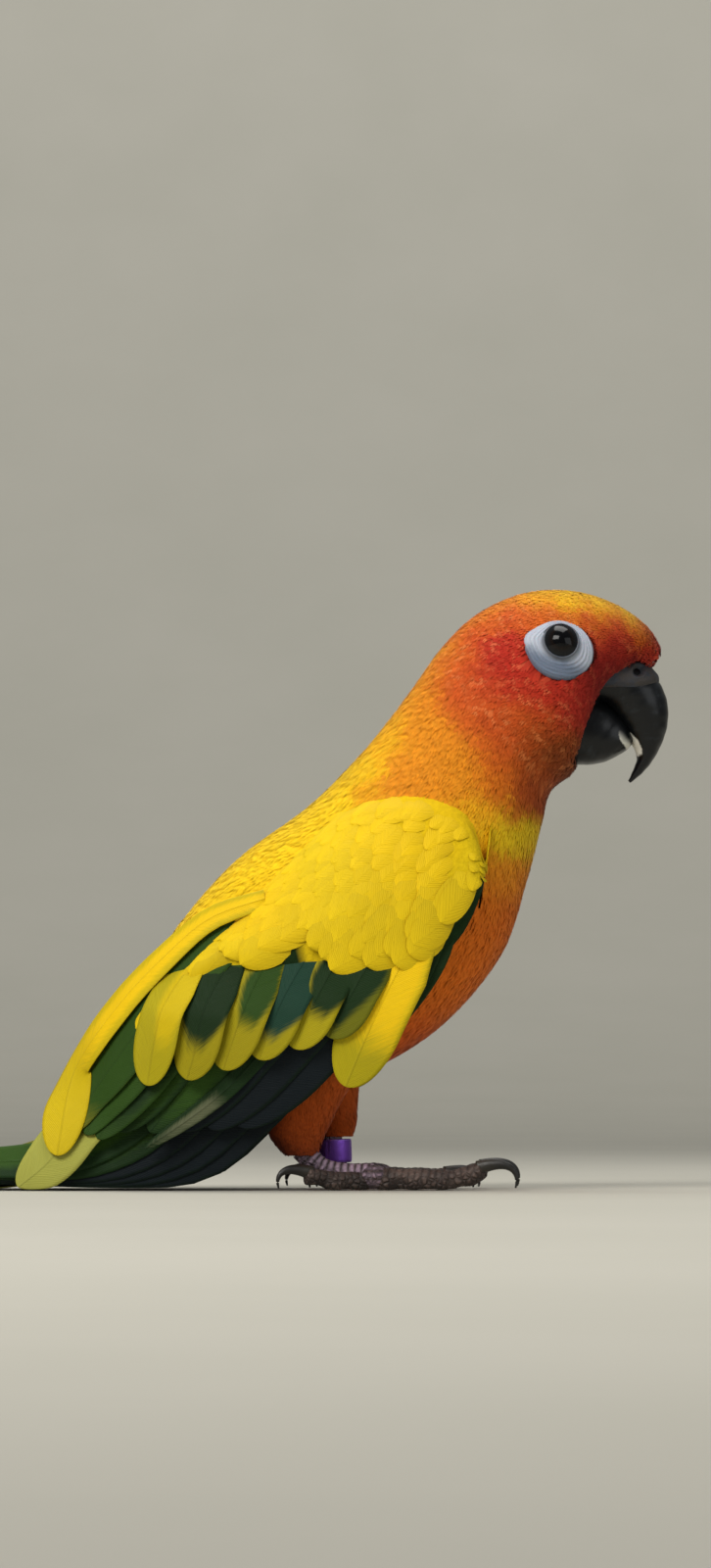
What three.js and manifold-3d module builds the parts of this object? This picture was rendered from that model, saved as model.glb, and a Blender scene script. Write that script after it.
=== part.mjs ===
// Sun conure: a still, life-size model of the bird standing on a flat floor, in millimetres.
// +X is the way the bird faces, +Y is its left, +Z is up, and its feet and tail rest on z = 0.
// The outline is set in side view, as points [x, z], and the widths are half widths along Y.
import * as THREE from "three";
import { mergeVertices } from "three/addons/utils/BufferGeometryUtils.js";
import Module from "manifold-3d";

const wasm = await Module();
wasm.setup();

// Gaps and thicknesses
const GAP = 0.3; // between nodes that touch
const VANE_THICK = 0.55; // a flight or tail feather
const COVERT_THICK = 0.6; // a covert feather
const FLOOR_CLEAR = 0.35; // lowest that a wing feather comes

// The body's outline, from the tail's tip to the forehead. widest is where the body is broadest,
// as a share of its depth from the back.
const BODY = [
  { at: "tail tip", back: [-172, 3], belly: [-172, 0], half: 3, widest: 1 },
  { at: "tail far", back: [-140, 5], belly: [-140, 0], half: 7, widest: 1 },
  { at: "tail middle", back: [-105, 7.5], belly: [-105, 0], half: 10.4, widest: 1 },
  { at: "tail near", back: [-80, 9.8], belly: [-79, 0], half: 10.8, widest: 1 },
  { at: "tail base", back: [-62, 12.2], belly: [-60, 0], half: 11.6, widest: 0.95 },
  { at: "tail root", back: [-51.4, 17.4], belly: [-43, 1.5], half: 12.4, widest: 0.75 },
  { at: "vent", back: [-44.8, 26.2], belly: [-30, 8], half: 14.4, widest: 0.6 },
  { at: "rump", back: [-37.6, 36.4], belly: [-16, 13.8], half: 17, widest: 0.5 },
  { at: "loin", back: [-30, 48], belly: [-2, 19.8], half: 18.5, widest: 0.48 },
  { at: "back", back: [-20.6, 60.4], belly: [14.6, 29.4], half: 19.2, widest: 0.48 },
  { at: "shoulders", back: [-9.3, 70.8], belly: [26.8, 43.2], half: 19.6, widest: 0.47 },
  { at: "breast", back: [-0.8, 79], belly: [31.8, 57.2], half: 18.5, widest: 0.48 },
  { at: "neck base", back: [5.2, 86], belly: [34.4, 67], half: 16, widest: 0.5 },
  { at: "neck", back: [10.6, 93.2], belly: [36, 73.5], half: 14.6, widest: 0.5 },
  { at: "nape", back: [16.4, 101.2], belly: [38, 75.8], half: 14.3, widest: 0.5 },
  { at: "occiput", back: [23, 107.4], belly: [40.2, 77.3], half: 14.7, widest: 0.5 },
  { at: "crown", back: [31.6, 111.2], belly: [41.7, 79.8], half: 14.9, widest: 0.48 },
  { at: "brow", back: [40.5, 111.6], belly: [43.4, 86], half: 13.8, widest: 0.5 },
  { at: "forehead", back: [48.5, 109.2], belly: [46, 92], half: 11.3, widest: 0.5 },
  { at: "lores", back: [54.6, 104.9], belly: [50.6, 95.8], half: 8.5, widest: 0.5 },
  { at: "front", back: [57.7, 99.8], belly: [56.4, 97.4], half: 4, widest: 0.5 },
];
const stationAt = (name) => BODY.findIndex((s) => s.at === name);
const TORSO_REAR = stationAt("tail root");
const NECK_CUT = stationAt("neck base") - 0.4;
const HEAD_CUT = stationAt("nape") - 0.2;
const FACE_END = stationAt("front");
const BODY_SIDES = 24;
const BODY_STEP = 0.5; // stations between rings

// Eyes and the bare ring round each
const EYE = { place: [37.9, 101], radius: 4.2, sunk: 2 };
const EYE_RING = { place: [37.75, 99.7], long: 6.5, tall: 5.6, proud: 1.1, lean: -0.35 };
const EYE_LID = { radius: 3.3, thick: 0.45, out: 0.95 }; // the rim round the opening

// Bill: pairs of points on the ridge and on the cutting edge, with half widths, from inside the face outwards
const UPPER_BILL = [
  { ridge: [48, 100.5], edge: [38, 92], half: 6.2 },
  { ridge: [53, 98.6], edge: [42.5, 91.2], half: 6.5 },
  { ridge: [56.7, 94.8], edge: [46.2, 90.2], half: 6.3 },
  { ridge: [58.3, 91], edge: [48, 88.2], half: 5.8 },
  { ridge: [58.4, 87], edge: [49.8, 86], half: 4.9 },
  { ridge: [57.4, 83.4], edge: [51.5, 83.4], half: 3.8 },
  { ridge: [55.6, 80], edge: [52.6, 80.6], half: 2.5 },
  { ridge: [53.6, 77.6], edge: [51.9, 78.2], half: 1.4 },
  { ridge: [51.4, 75.8], edge: [51, 76.2], half: 0.5 },
];
const LOWER_BILL = [
  { ridge: [40, 92], edge: [33, 83], half: 5.6 },
  { ridge: [46, 91.6], edge: [38.6, 79.9], half: 6.1 },
  { ridge: [49.6, 88.6], edge: [42.6, 79.2], half: 5.9 },
  { ridge: [51.4, 86], edge: [46.4, 79.7], half: 5 },
  { ridge: [52, 84], edge: [49.2, 81], half: 3.4 },
  { ridge: [51.6, 82.9], edge: [50.8, 82], half: 1.6 },
];
const CERE = { proud: 0.6, from: 0.5, to: 2.2, nostril: [52.6, 96.3], nostrilRadius: 0.75, top: 93.6 };

// Legs, one for each side. The right one crouches lower, and the left one wears the ring.
const TRACK = 9.5; // from the middle plane to each foot
const LEGS = {
  right: {
    side: -1,
    thigh: [
      { z: 30, x: -8, long: 8, wide: 5.5 },
      { z: 22, x: -8.6, long: 8.6, wide: 6.2 },
      { z: 15.5, x: -9.9, long: 6.8, wide: 5.4 },
      { z: 10, x: -10.8, long: 5, wide: 4 },
      { z: 6.4, x: -10, long: 2.9, wide: 2.6 },
    ],
    tarsus: [[-10, 7.6], [-6.5, 4.4], [-1, 3.1], [3.2, 2.7]],
    foot: 3.2,
  },
  left: {
    side: 1,
    thigh: [
      { z: 30, x: -5.5, long: 7, wide: 5.5 },
      { z: 22, x: -5.8, long: 6.6, wide: 6 },
      { z: 16, x: -4.6, long: 4.9, wide: 4.6 },
      { z: 12.4, x: -3.7, long: 3.8, wide: 3.6 },
      { z: 9.8, x: -3.6, long: 3, wide: 2.9 },
    ],
    tarsus: [[-4.5, 12.6], [-4.5, 9], [-4.1, 5.2], [-1.8, 3.1], [4.4, 2.7]],
    foot: 4.4,
  },
};
const TARSUS = { radius: 1.9, waist: 0.12 }; // waist is how much narrower it is in the middle
const PAD = { radius: 3.1, flat: 0.78, height: 2.25 };
const LEG_BAND = { place: [-4.1, 7.1], lean: 0.03, inner: 2.6, outer: 3.4, height: 4.4 };

// Toes: length without the claw, heading from straight ahead towards the outside, and root radius
const TOES = [
  { name: "front_outer", length: 21, heading: 10, radius: 2.15, claw: 10, lift: 3.2 },
  { name: "front_inner", length: 15.5, heading: -17, radius: 1.95, claw: 7.2, lift: 2.2 },
  { name: "hind_outer", length: 13.4, heading: 160, radius: 1.9, claw: 9, lift: 2.4 },
  { name: "hind_inner", length: 8.6, heading: 196, radius: 1.7, claw: 6.4, lift: 1.6 },
];
// A toe narrows by taper to its end, swells by swell at each pad, and ends in a blunt tip.
const TOE_SHAPE = { pads: 5.2, swell: 0.09, taper: 0.22, tip: 0.62, rise: 6 };
// A claw arches by arch, and curls down through bend radians. reach and back are along the toe.
const CLAW_SHAPE = { reach: 0.62, back: 1.2, arch: 0.13, bend: 1.95, root: 1.15, point: 0.22, lowest: 0.5 };

// Wing: the arm that the feathers grow from, as its upper and lower edges in side view, front to rear
const ARM_TOP = [[24, 62], [19.5, 70.5], [9.5, 73.2], [-1.5, 70.2], [-10, 62.2], [-18.5, 53], [-26, 44.5]];
const ARM_LOW = [[23, 55], [19, 47], [12, 40.5], [3.5, 38], [-7, 38.2], [-17, 37.8], [-25.5, 38.6]];
const ARM_THICK = 4.9;
const ARM_RIM = 1.2; // thickness at its edges
const ARM_SUNK = 3; // how far it reaches in, before the body is cut out of it
const ARM_ALONG = [0.06, 0.84]; // shares of a half wave that shape it from front to rear
const ARM_ACROSS = [0.1, 0.8]; // and from its upper edge to its lower one
const CLOAK_OUT = 0.7; // the wing's face over the body's
const CLOAK_CURL = 0.1; // how much the wing's lower part turns in under the body
const CLOAK_LEAN = 0.25; // how far its thickness leans down there
const MIDLINE_CLEAR = 0.25;

// Feathers of one wing in rows, each from its front feather to its rear one, root to tip in side view.
// out is the height over the body at root and tip, and tilt lifts each lower edge over the next feather.
// stack is the extra height of the last feather over the first where their tips crowd together.
const WING_ROWS = [
  {
    name: "primary", count: 5, width: 8, tilt: 16, thick: VANE_THICK, round: 0.16, stack: 3.2,
    first: { path: [[13, 46], [-5, 28.2], [-20.5, 14.8], [-33, 7], [-54, 5], [-103, 4.6]], out: [0.8, 1.25] },
    last: { path: [[4, 49], [-15, 37], [-29, 24.5], [-43.5, 13], [-60, 9.4], [-84, 8.2]], out: [0.8, 1.25] },
  },
  {
    name: "secondary", count: 4, width: 9, tilt: 11, thick: VANE_THICK, round: 0.3, stack: 0,
    first: { path: [[8, 44], [-8, 26.5], [-22.5, 13.6]], out: [3, 3.7] },
    last: { path: [[-12, 48], [-30, 29], [-44.5, 11]], out: [3, 3.7] },
  },
  {
    name: "tertial", count: 3, width: 9, tilt: 12, thick: VANE_THICK, round: 0.36, stack: 0,
    first: { path: [[-14, 50], [-33, 31.6], [-50.5, 10]], out: [2.4, 4.3] },
    last: { path: [[-22, 52], [-41, 32], [-58, 8.6]], out: [1.4, 3.2] },
  },
  {
    name: "greater_covert", count: 6, width: 8.6, tilt: 9, thick: COVERT_THICK, round: 0.42, stack: 0,
    first: { path: [[5, 46], [-2.6, 34.4], [-8, 23.6]], out: [4.2, 5.3] },
    last: { path: [[-21, 47], [-31.6, 33.8], [-38.6, 21.4]], out: [3.4, 5.2] },
  },
  {
    name: "alula", count: 1, width: 8.4, tilt: 10, thick: COVERT_THICK, round: 0.42, stack: 0,
    first: { path: [[18, 51], [13.4, 39], [5.6, 27.4]], out: [2.4, 3.2] },
  },
  {
    name: "long_covert", count: 1, width: 10.4, tilt: 8, thick: COVERT_THICK, round: 0.4, stack: 0,
    first: { path: [[11, 50], [5.4, 35], [-1.4, 18.8]], out: [3.8, 5] },
  },
  {
    name: "median_covert", count: 7, width: 8.2, tilt: 8, thick: COVERT_THICK, round: 0.5, stack: 0,
    first: { path: [[17, 58], [13.6, 51], [9.6, 43]], out: [3.4, 5.9] },
    last: { path: [[-13, 55], [-21, 48.4], [-28, 41]], out: [3, 5.3] },
  },
];
const VANE_STOPS = [0, 0.34, 0.68, 0.9, 1]; // shares of a covert's length
const LONG_VANE_STOPS = [0, 0.2, 0.38, 0.52, 0.66, 0.82, 0.95, 1]; // of a flight feather's
const CROWDED = [0.6, 0.82]; // shares of a flight feather's length where the stack builds up
const LIFTED = 0.5; // share of a feather's length by which it is at its full height
const VANE_ROOT = { width: 0.6, until: 0.3 }; // a feather's width at its root, and where it is full
const VANE_END = 0.18; // least share of the width, at the very tip

// Tail: pairs of feathers from the middle pair down to the outermost, laid back along the floor
const TAIL_PAIRS = 6;
const TAIL_ROOT = [-44, 9.5];
const TAIL_TIPS = { middle: -172, outermost: -100 };
const TAIL_INNER = { middle: 0.2, outermost: 2.4 }; // from the middle plane to a feather's inner edge
const TAIL_VANE = 7; // width
const TAIL_STEP = 0.87; // height of one pair over the next
const TAIL_SETTLE = 26; // length in which the feathers come down to their levels
const TAIL_STOPS = [0, 0.08, 0.16, 0.24, 0.45, 0.62, 0.76, 0.88, 0.97, 1];
const TAIL_TAPER = 0.42; // share of a tail feather's length that narrows to the tip
const TAIL_CORE = [
  { x: -45, z: 8.8, tall: 6.6, half: 9.4 },
  { x: -52, z: 6.8, tall: 6, half: 9 },
  { x: -61, z: 4.8, tall: 4.6, half: 8.4 },
  { x: -69, z: 3.6, tall: 3.2, half: 7.6 },
  { x: -76, z: 2.9, tall: 1.6, half: 6.2 },
];
const TAIL_FALL = 0.5; // how much lower each pair's root lies
const TAIL_FAN = 0.9; // exponent that spaces the tips
const TAIL_DROOP = [4, 24]; // from a shorter feather's tip, where the next longer one comes down

// Small feathers over the tail's root, as three points of a curve [x, y, z], at the middle and at the side
const TAIL_COVERTS = {
  count: 3, width: 6.6, round: 0.45,
  inner: { curve: [[-47, 1.5, 14], [-60, 3.6, 9.8], [-85, 3.6, 6.2]], lean: 0.1 },
  outer: { curve: [[-47, 6, 9.6], [-60, 6.4, 7.6], [-77, 6, 6.2]], lean: 0.5 },
};

// The space kept free for the tail: its height at the rear and by the body, and where it rises
const SLEEVE = { x: [-176, -140, -110, -90, -78, -64, -55, -44], high: [6.6, 16.8], rise: [-86, -50], under: -2 };
const SLEEVE_ARCH = [[1, 0.35], [0.62, 0.9], [0.2, 1]]; // shares of its half width and of its height

const COLOURS = {
  yellow: 0xf2c40f, orange: 0xe8760e, red: 0xc8321c, green: 0x2c5a1c, olive: 0x8f9a2c, horn: 0x23262a,
  bare: 0xd9dee6, eye: 0x0d0d12, scale: 0x6b605e, claw: 0x2b2a2c, cere: 0x6d6a68, band: 0x7a4bc0,
};

// Smooth values between stations

function between(values, t) {
  const last = values.length - 1;
  const i = Math.min(Math.max(Math.floor(t), 0), last - 1);
  const u = t - i;
  const [a, b, c, d] = [i - 1, i, i + 1, i + 2].map((k) => values[Math.min(Math.max(k, 0), last)]);
  return b + 0.5 * u * (c - a + u * (2 * a - 5 * b + 4 * c - d + u * (3 * (b - c) + d - a)));
}

const mix = (a, b, u) => a + (b - a) * u;
const mixPoints = (p, q, u) => p.map((point, i) => [mix(point[0], q[i][0], u), mix(point[1], q[i][1], u)]);

// A section of the body: its back and belly points in side view, its half width and where it is widest.
function section(t) {
  const value = (pick) => between(BODY.map(pick), t);
  return {
    back: new THREE.Vector2(value((s) => s.back[0]), value((s) => s.back[1])),
    belly: new THREE.Vector2(value((s) => s.belly[0]), value((s) => s.belly[1])),
    half: value((s) => s.half),
    widest: value((s) => s.widest),
  };
}

// Closed solids

function solidOf(positions, triangles) {
  const geometry = new THREE.BufferGeometry();
  geometry.setAttribute("position", new THREE.Float32BufferAttribute(positions, 3));
  geometry.setIndex(triangles);
  return manifoldOf(geometry);
}

function manifoldOf(geometry) {
  const bare = geometry.clone();
  bare.deleteAttribute("normal");
  bare.deleteAttribute("uv");
  const merged = mergeVertices(bare, 1e-4);
  const made = new wasm.Manifold(new wasm.Mesh({
    numProp: 3,
    vertProperties: new Float32Array(merged.attributes.position.array),
    triVerts: new Uint32Array(merged.index.array),
  }));
  if (made.volume() > 0) return made;
  const turned = merged.index.array.slice();
  for (let i = 0; i < turned.length; i += 3) [turned[i + 1], turned[i + 2]] = [turned[i + 2], turned[i + 1]];
  merged.setIndex(new THREE.BufferAttribute(turned, 1));
  return manifoldOf(merged);
}

// A skin over rings that all have the same number of points, closed by a fan at each end.
function loft(rings) {
  const sides = rings[0].length;
  const positions = rings.flat().flatMap((p) => [p.x, p.y, p.z]);
  const triangles = [];
  for (let k = 0; k + 1 < rings.length; k++) {
    for (let j = 0; j < sides; j++) {
      const [a, b] = [k * sides + j, k * sides + ((j + 1) % sides)];
      triangles.push(a, b, b + sides, a, b + sides, a + sides);
    }
  }
  for (const [ring, base, front] of [[rings[0], 0, true], [rings.at(-1), (rings.length - 1) * sides, false]]) {
    const middle = ring.reduce((sum, p) => sum.add(p), new THREE.Vector3()).divideScalar(sides);
    const hub = positions.length / 3;
    positions.push(middle.x, middle.y, middle.z);
    for (let j = 0; j < sides; j++) {
      const [a, b] = [base + j, base + ((j + 1) % sides)];
      triangles.push(...(front ? [hub, b, a] : [hub, a, b]));
    }
  }
  return solidOf(positions, triangles);
}

// A round tube along a path in space, with a radius for each point. flat squeezes it along the second axis.
function tube(points, radii, sides, extra = 0, flat = 1) {
  const across = new THREE.Vector3();
  const rings = points.map((p, k) => {
    const ahead = points[Math.min(k + 1, points.length - 1)].clone().sub(points[Math.max(k - 1, 0)]).normalize();
    if (k === 0) across.crossVectors(ahead, new THREE.Vector3(0, 0, 1)).normalize();
    const up = new THREE.Vector3().crossVectors(across, ahead).normalize();
    const centre = p.clone();
    if (k === 0) centre.addScaledVector(ahead, -extra);
    if (k === points.length - 1) centre.addScaledVector(ahead, extra);
    return Array.from({ length: sides }, (_, j) => {
      const turn = ((j + 0.5) / sides) * 2 * Math.PI;
      return centre.clone()
        .addScaledVector(across, (radii[k] + extra) * Math.cos(turn))
        .addScaledVector(up, (radii[k] * flat + extra) * Math.sin(turn));
    });
  });
  return loft(rings);
}

// The box that holds everything under a height, or everything past the middle plane.
function slabUnder(height) {
  const deep = 60;
  return manifoldOf(new THREE.BoxGeometry(600, 300, deep).translate(0, 0, height - deep / 2));
}

function beyondMiddle(side) {
  const wide = 100;
  return manifoldOf(new THREE.BoxGeometry(600, wide, 400).translate(0, side * (MIDLINE_CLEAR - wide / 2), 0));
}

function largest(solid) {
  return solid.decompose().reduce((a, b) => (b.volume() > a.volume() ? b : a));
}

const joined = (solids) => solids.reduce((a, b) => a.add(b));
const cutBy = (solid, cutters) => cutters.reduce((a, b) => a.subtract(b), solid);

// Head, neck and torso

function bodyPoint(t, turn, side, extra = 0) {
  const s = section(t);
  const depth = s.belly.clone().sub(s.back);
  const out = extra / depth.length();
  const upper = turn <= Math.PI / 2;
  const reach = upper ? s.widest * (1 - Math.cos(turn)) : s.widest - (1 - s.widest) * Math.cos(turn);
  const p = s.back.clone().addScaledVector(depth, reach - out * Math.cos(turn));
  return new THREE.Vector3(p.x, side * (s.half + extra) * Math.sin(turn), p.y);
}

function bodyRing(t, extra, shift) {
  const s = section(t);
  const depth = s.belly.clone().sub(s.back).normalize();
  const ahead = new THREE.Vector3(-depth.y, 0, depth.x).multiplyScalar(shift);
  return Array.from({ length: BODY_SIDES }, (_, j) => {
    const turn = (j / BODY_SIDES) * 2 * Math.PI;
    const half = turn <= Math.PI ? turn : 2 * Math.PI - turn;
    return bodyPoint(t, half, turn <= Math.PI ? -1 : 1, extra).add(ahead);
  });
}

// One length of the body. Its ends are drawn in by half a gap, or pushed out by extra.
function bodyLength(from, to, extra = 0) {
  const rings = [];
  const steps = Math.ceil((to - from) / BODY_STEP);
  for (let k = 0; k <= steps; k++) {
    const shift = k === 0 ? GAP / 2 - extra : k === steps ? extra - GAP / 2 : 0;
    rings.push(bodyRing(mix(from, to, k / steps), extra, shift));
  }
  return loft(rings);
}

const torsoWith = (extra) => bodyLength(TORSO_REAR, NECK_CUT, extra);
const neckWith = (extra) => bodyLength(NECK_CUT, HEAD_CUT, extra);
const headWith = (extra) => bodyLength(HEAD_CUT, FACE_END, extra);

// The place on the body's side that is seen at [x, z]: its station, and how far round from the back.
function placeOn(x, z, from, to) {
  let [low, high] = [from, to];
  for (let k = 0; k < 40; k++) {
    const middle = (low + high) / 2;
    const s = section(middle);
    const depth = s.belly.clone().sub(s.back);
    const ahead = depth.x * (z - s.back.y) - depth.y * (x - s.back.x) > 0;
    if (ahead) low = middle;
    else high = middle;
  }
  const s = section(low);
  const depth = s.belly.clone().sub(s.back);
  const share = (depth.x * (x - s.back.x) + depth.y * (z - s.back.y)) / depth.lengthSq();
  return { t: low, share: Math.max(share, 0), widest: s.widest };
}

function faceFrame(place, side) {
  const { t, share, widest } = placeOn(place[0], place[1], HEAD_CUT, FACE_END);
  const turn = share <= widest ? Math.acos(1 - share / widest) : Math.acos((widest - share) / (1 - widest));
  const point = bodyPoint(t, turn, side);
  const along = bodyPoint(t + 0.05, turn, side).sub(bodyPoint(t - 0.05, turn, side));
  const round = bodyPoint(t, turn + 0.05, side).sub(bodyPoint(t, turn - 0.05, side));
  const normal = along.cross(round).normalize();
  if (normal.y * side < 0) normal.negate();
  return { point, normal };
}

// Eyes

function eyeBall(side, extra = 0) {
  const { point, normal } = faceFrame(EYE.place, side);
  const centre = point.addScaledVector(normal, -EYE.sunk);
  const ball = new THREE.SphereGeometry(EYE.radius + extra, 12, 8);
  return manifoldOf(ball.rotateX(Math.PI / 2).translate(centre.x, centre.y, centre.z));
}

function eyeRing(side) {
  const { point, normal } = faceFrame(EYE_RING.place, side);
  const mound = new THREE.SphereGeometry(1, 16, 6).rotateX(Math.PI / 2);
  const outward = new THREE.Matrix4().lookAt(normal, new THREE.Vector3(), new THREE.Vector3(EYE_RING.lean, 0, 1));
  mound.scale(EYE_RING.long, EYE_RING.tall, EYE_RING.proud).applyMatrix4(outward);
  mound.translate(point.x, point.y, point.z);
  const eye = faceFrame(EYE.place, side);
  const rim = eye.point.addScaledVector(eye.normal, EYE_LID.out);
  const lid = new THREE.TorusGeometry(EYE_LID.radius, EYE_LID.thick, 5, 14)
    .applyMatrix4(new THREE.Matrix4().lookAt(eye.normal, new THREE.Vector3(), new THREE.Vector3(0, 0, 1)))
    .translate(rim.x, rim.y, rim.z);
  return largest(cutBy(manifoldOf(mound).add(manifoldOf(lid)), [headWith(GAP), eyeBall(side, GAP)]));
}

// Bill

function billRing(s, extra, bend) {
  const sides = 14;
  const ridge = new THREE.Vector2(...s.ridge);
  const edge = new THREE.Vector2(...s.edge);
  const middle = ridge.clone().add(edge).divideScalar(2);
  const half = ridge.clone().sub(edge).divideScalar(2);
  const tall = half.length();
  return Array.from({ length: sides }, (_, j) => {
    const turn = (j / sides) * 2 * Math.PI;
    const up = Math.cos(turn);
    const p = middle.clone().addScaledVector(half, up * (1 + extra / tall));
    const full = Math.sign(Math.sin(turn)) * Math.abs(Math.sin(turn)) ** bend;
    return new THREE.Vector3(p.x, full * (s.half + extra), p.y);
  });
}

function billWith(stations, extra, from = 0, to = stations.length - 1) {
  const rings = [];
  const steps = Math.ceil((to - from) * 1.5);
  for (let k = 0; k <= steps; k++) {
    const t = mix(from, to, k / steps);
    const value = (pick) => between(stations.map(pick), t);
    rings.push(billRing({
      ridge: [value((s) => s.ridge[0]), value((s) => s.ridge[1])],
      edge: [value((s) => s.edge[0]), value((s) => s.edge[1])],
      half: value((s) => s.half),
    }, extra, 0.8));
  }
  return loft(rings);
}

function upperBill() {
  return largest(cutBy(billWith(UPPER_BILL, 0), [headWith(GAP)]));
}

function lowerBill() {
  return largest(cutBy(billWith(LOWER_BILL, 0), [headWith(GAP), billWith(UPPER_BILL, GAP)]));
}

// The cere is a low saddle over the root of the bill, with a nostril through each side.
function cere() {
  const saddle = billWith(UPPER_BILL, CERE.proud, CERE.from, CERE.to);
  const nostrils = manifoldOf(new THREE.CylinderGeometry(CERE.nostrilRadius, CERE.nostrilRadius, 60, 12)
    .translate(CERE.nostril[0], 0, CERE.nostril[1]));
  return largest(cutBy(saddle, [headWith(GAP), billWith(UPPER_BILL, GAP), slabUnder(CERE.top), nostrils]));
}

// Legs and feet

function thighWith(leg, extra = 0) {
  const steps = 8;
  const sides = 16;
  const rings = Array.from({ length: steps + 1 }, (_, k) => {
    const t = (k / steps) * (leg.thigh.length - 1);
    const value = (pick) => between(leg.thigh.map(pick), t);
    const shift = k === 0 ? extra : k === steps ? -extra : 0;
    return Array.from({ length: sides }, (_, j) => {
      const turn = (j / sides) * 2 * Math.PI;
      return new THREE.Vector3(
        value((s) => s.x) + (value((s) => s.long) + extra) * Math.cos(turn),
        leg.side * TRACK + (value((s) => s.wide) + extra) * Math.sin(turn),
        value((s) => s.z) + shift,
      );
    });
  });
  return loft(rings);
}

function footWith(leg, extra = 0) {
  const curve = new THREE.CatmullRomCurve3(leg.tarsus.map(([x, z]) => new THREE.Vector3(x, leg.side * TRACK, z)));
  const steps = 7;
  const points = curve.getSpacedPoints(steps);
  const radii = points.map((_, k) => TARSUS.radius * (1 + TARSUS.waist * Math.cos((k / steps) * 2 * Math.PI)));
  const pad = new THREE.SphereGeometry(1, 10, 6)
    .scale(PAD.radius + extra, PAD.radius + extra, PAD.radius * PAD.flat + extra)
    .translate(leg.foot, leg.side * TRACK, PAD.height);
  return tube(points, radii, 8, extra).add(manifoldOf(pad));
}

function heading(toe, leg) {
  const turn = THREE.MathUtils.degToRad(toe.heading) * leg.side;
  return new THREE.Vector3(Math.cos(turn), Math.sin(turn), 0);
}

function toePoint(toe, leg, along, height) {
  return new THREE.Vector3(leg.foot, leg.side * TRACK, height).addScaledVector(heading(toe, leg), along);
}

function toeWith(toe, leg, extra = 0) {
  const steps = 8;
  const { pads, swell, taper, tip, rise } = TOE_SHAPE;
  const points = [];
  const radii = [];
  for (let k = 0; k <= steps; k++) {
    const u = k / steps;
    const along = mix(1, toe.length, u);
    const pad = 1 - swell * Math.cos((along / pads) * 2 * Math.PI);
    const lifted = Math.max(0, along - (toe.length - rise)) / rise;
    const end = k === steps ? tip : 1;
    points.push(toePoint(toe, leg, along, mix(toe.radius * 0.88, toe.lift + toe.radius * 0.26, lifted)));
    radii.push(toe.radius * (1 - taper * u) * pad * end);
  }
  return tube(points, radii, 7, extra);
}

// A claw is an arc that rises a little, then curls down to the floor.
function claw(toe, leg) {
  const steps = 6;
  const { reach, back, arch, bend, root, point, lowest } = CLAW_SHAPE;
  const high = toe.lift + toe.radius * 0.45;
  const points = [];
  const radii = [];
  for (let k = 0; k <= steps; k++) {
    const u = k / steps;
    const along = toe.length - back * (1 - u) + toe.claw * reach * Math.sin(u * bend);
    const fall = (high - lowest) * (1 - Math.cos(u * bend * 0.8));
    const height = high + toe.claw * arch * Math.sin(u * Math.PI) - fall;
    points.push(toePoint(toe, leg, along, Math.max(height, lowest)));
    radii.push(mix(root, point, u ** 0.8));
  }
  return largest(cutBy(tube(points, radii, 6, 0, 1.1), [toeWith(toe, leg, GAP), slabUnder(0)]));
}

function legBand() {
  const { place, lean, inner, outer, height } = LEG_BAND;
  const profile = [[inner, -1], [outer, -1], [outer, 1], [inner, 1], [inner, -1]]
    .map(([radius, end]) => new THREE.Vector2(radius, end * height / 2));
  const band = new THREE.LatheGeometry(profile, 24).rotateX(Math.PI / 2).rotateY(-lean);
  return manifoldOf(band.translate(place[0], LEGS.left.side * TRACK, place[1]));
}

// Feathers

// The wing's face: it follows the back, then hangs nearly straight down the side.
function cloakPoint(t, share, side, out) {
  const s = section(t);
  const turn = share <= s.widest ? Math.acos(1 - share / s.widest) : Math.PI / 2 + (share / s.widest - 1);
  const over = Math.max(turn - Math.PI / 2, 0);
  const p = s.back.clone().addScaledVector(s.belly.clone().sub(s.back), share);
  const wide = s.half * (over > 0 ? 1 - CLOAK_CURL * over * over : Math.sin(turn));
  const lean = over > 0 ? -over * CLOAK_LEAN : Math.cos(turn);
  const depth = s.belly.clone().sub(s.back).normalize();
  return new THREE.Vector3(p.x - depth.x * lean * out, side * (wide + out * Math.sin(Math.min(turn, Math.PI / 2))),
    p.y - depth.y * lean * out);
}

function cloakFrame(x, z, side, out) {
  const { t, share } = placeOn(x, z, 0, stationAt("neck"));
  const step = 0.04;
  const around = cloakPoint(t, share + step, side, out).sub(cloakPoint(t, Math.max(share - step, 0), side, out));
  const along = cloakPoint(t + step, share, side, out).sub(cloakPoint(t - step, share, side, out));
  const normal = along.cross(around).normalize();
  if (normal.y * side < 0) normal.negate();
  return { point: cloakPoint(t, share, side, out), normal };
}

// A thin feather over stations that each have a centre, a width direction, a half width and a normal.
// Both faces are split along the same diagonals.
function vane(stations, thick) {
  const positions = stations.flatMap(({ centre, across, half, normal }) =>
    [[-1, 1], [1, 1], [1, -1], [-1, -1]].flatMap(([a, b]) =>
      centre.clone().addScaledVector(across, a * half).addScaledVector(normal, (b * thick) / 2).toArray()));
  const triangles = [0, 2, 1, 0, 3, 2];
  for (let k = 0; k + 1 < stations.length; k++) {
    const [a, b] = [4 * k, 4 * k + 4];
    triangles.push(a, a + 1, b + 1, a, b + 1, b);
    triangles.push(a + 3, b + 2, a + 2, a + 3, b + 3, b + 2);
    for (const corner of [1, 3]) {
      const next = (corner + 1) % 4;
      triangles.push(a + corner, a + next, b + next, a + corner, b + next, b + corner);
    }
  }
  const last = 4 * (stations.length - 1);
  triangles.push(last, last + 1, last + 2, last, last + 2, last + 3);
  return solidOf(positions, triangles);
}

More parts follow.
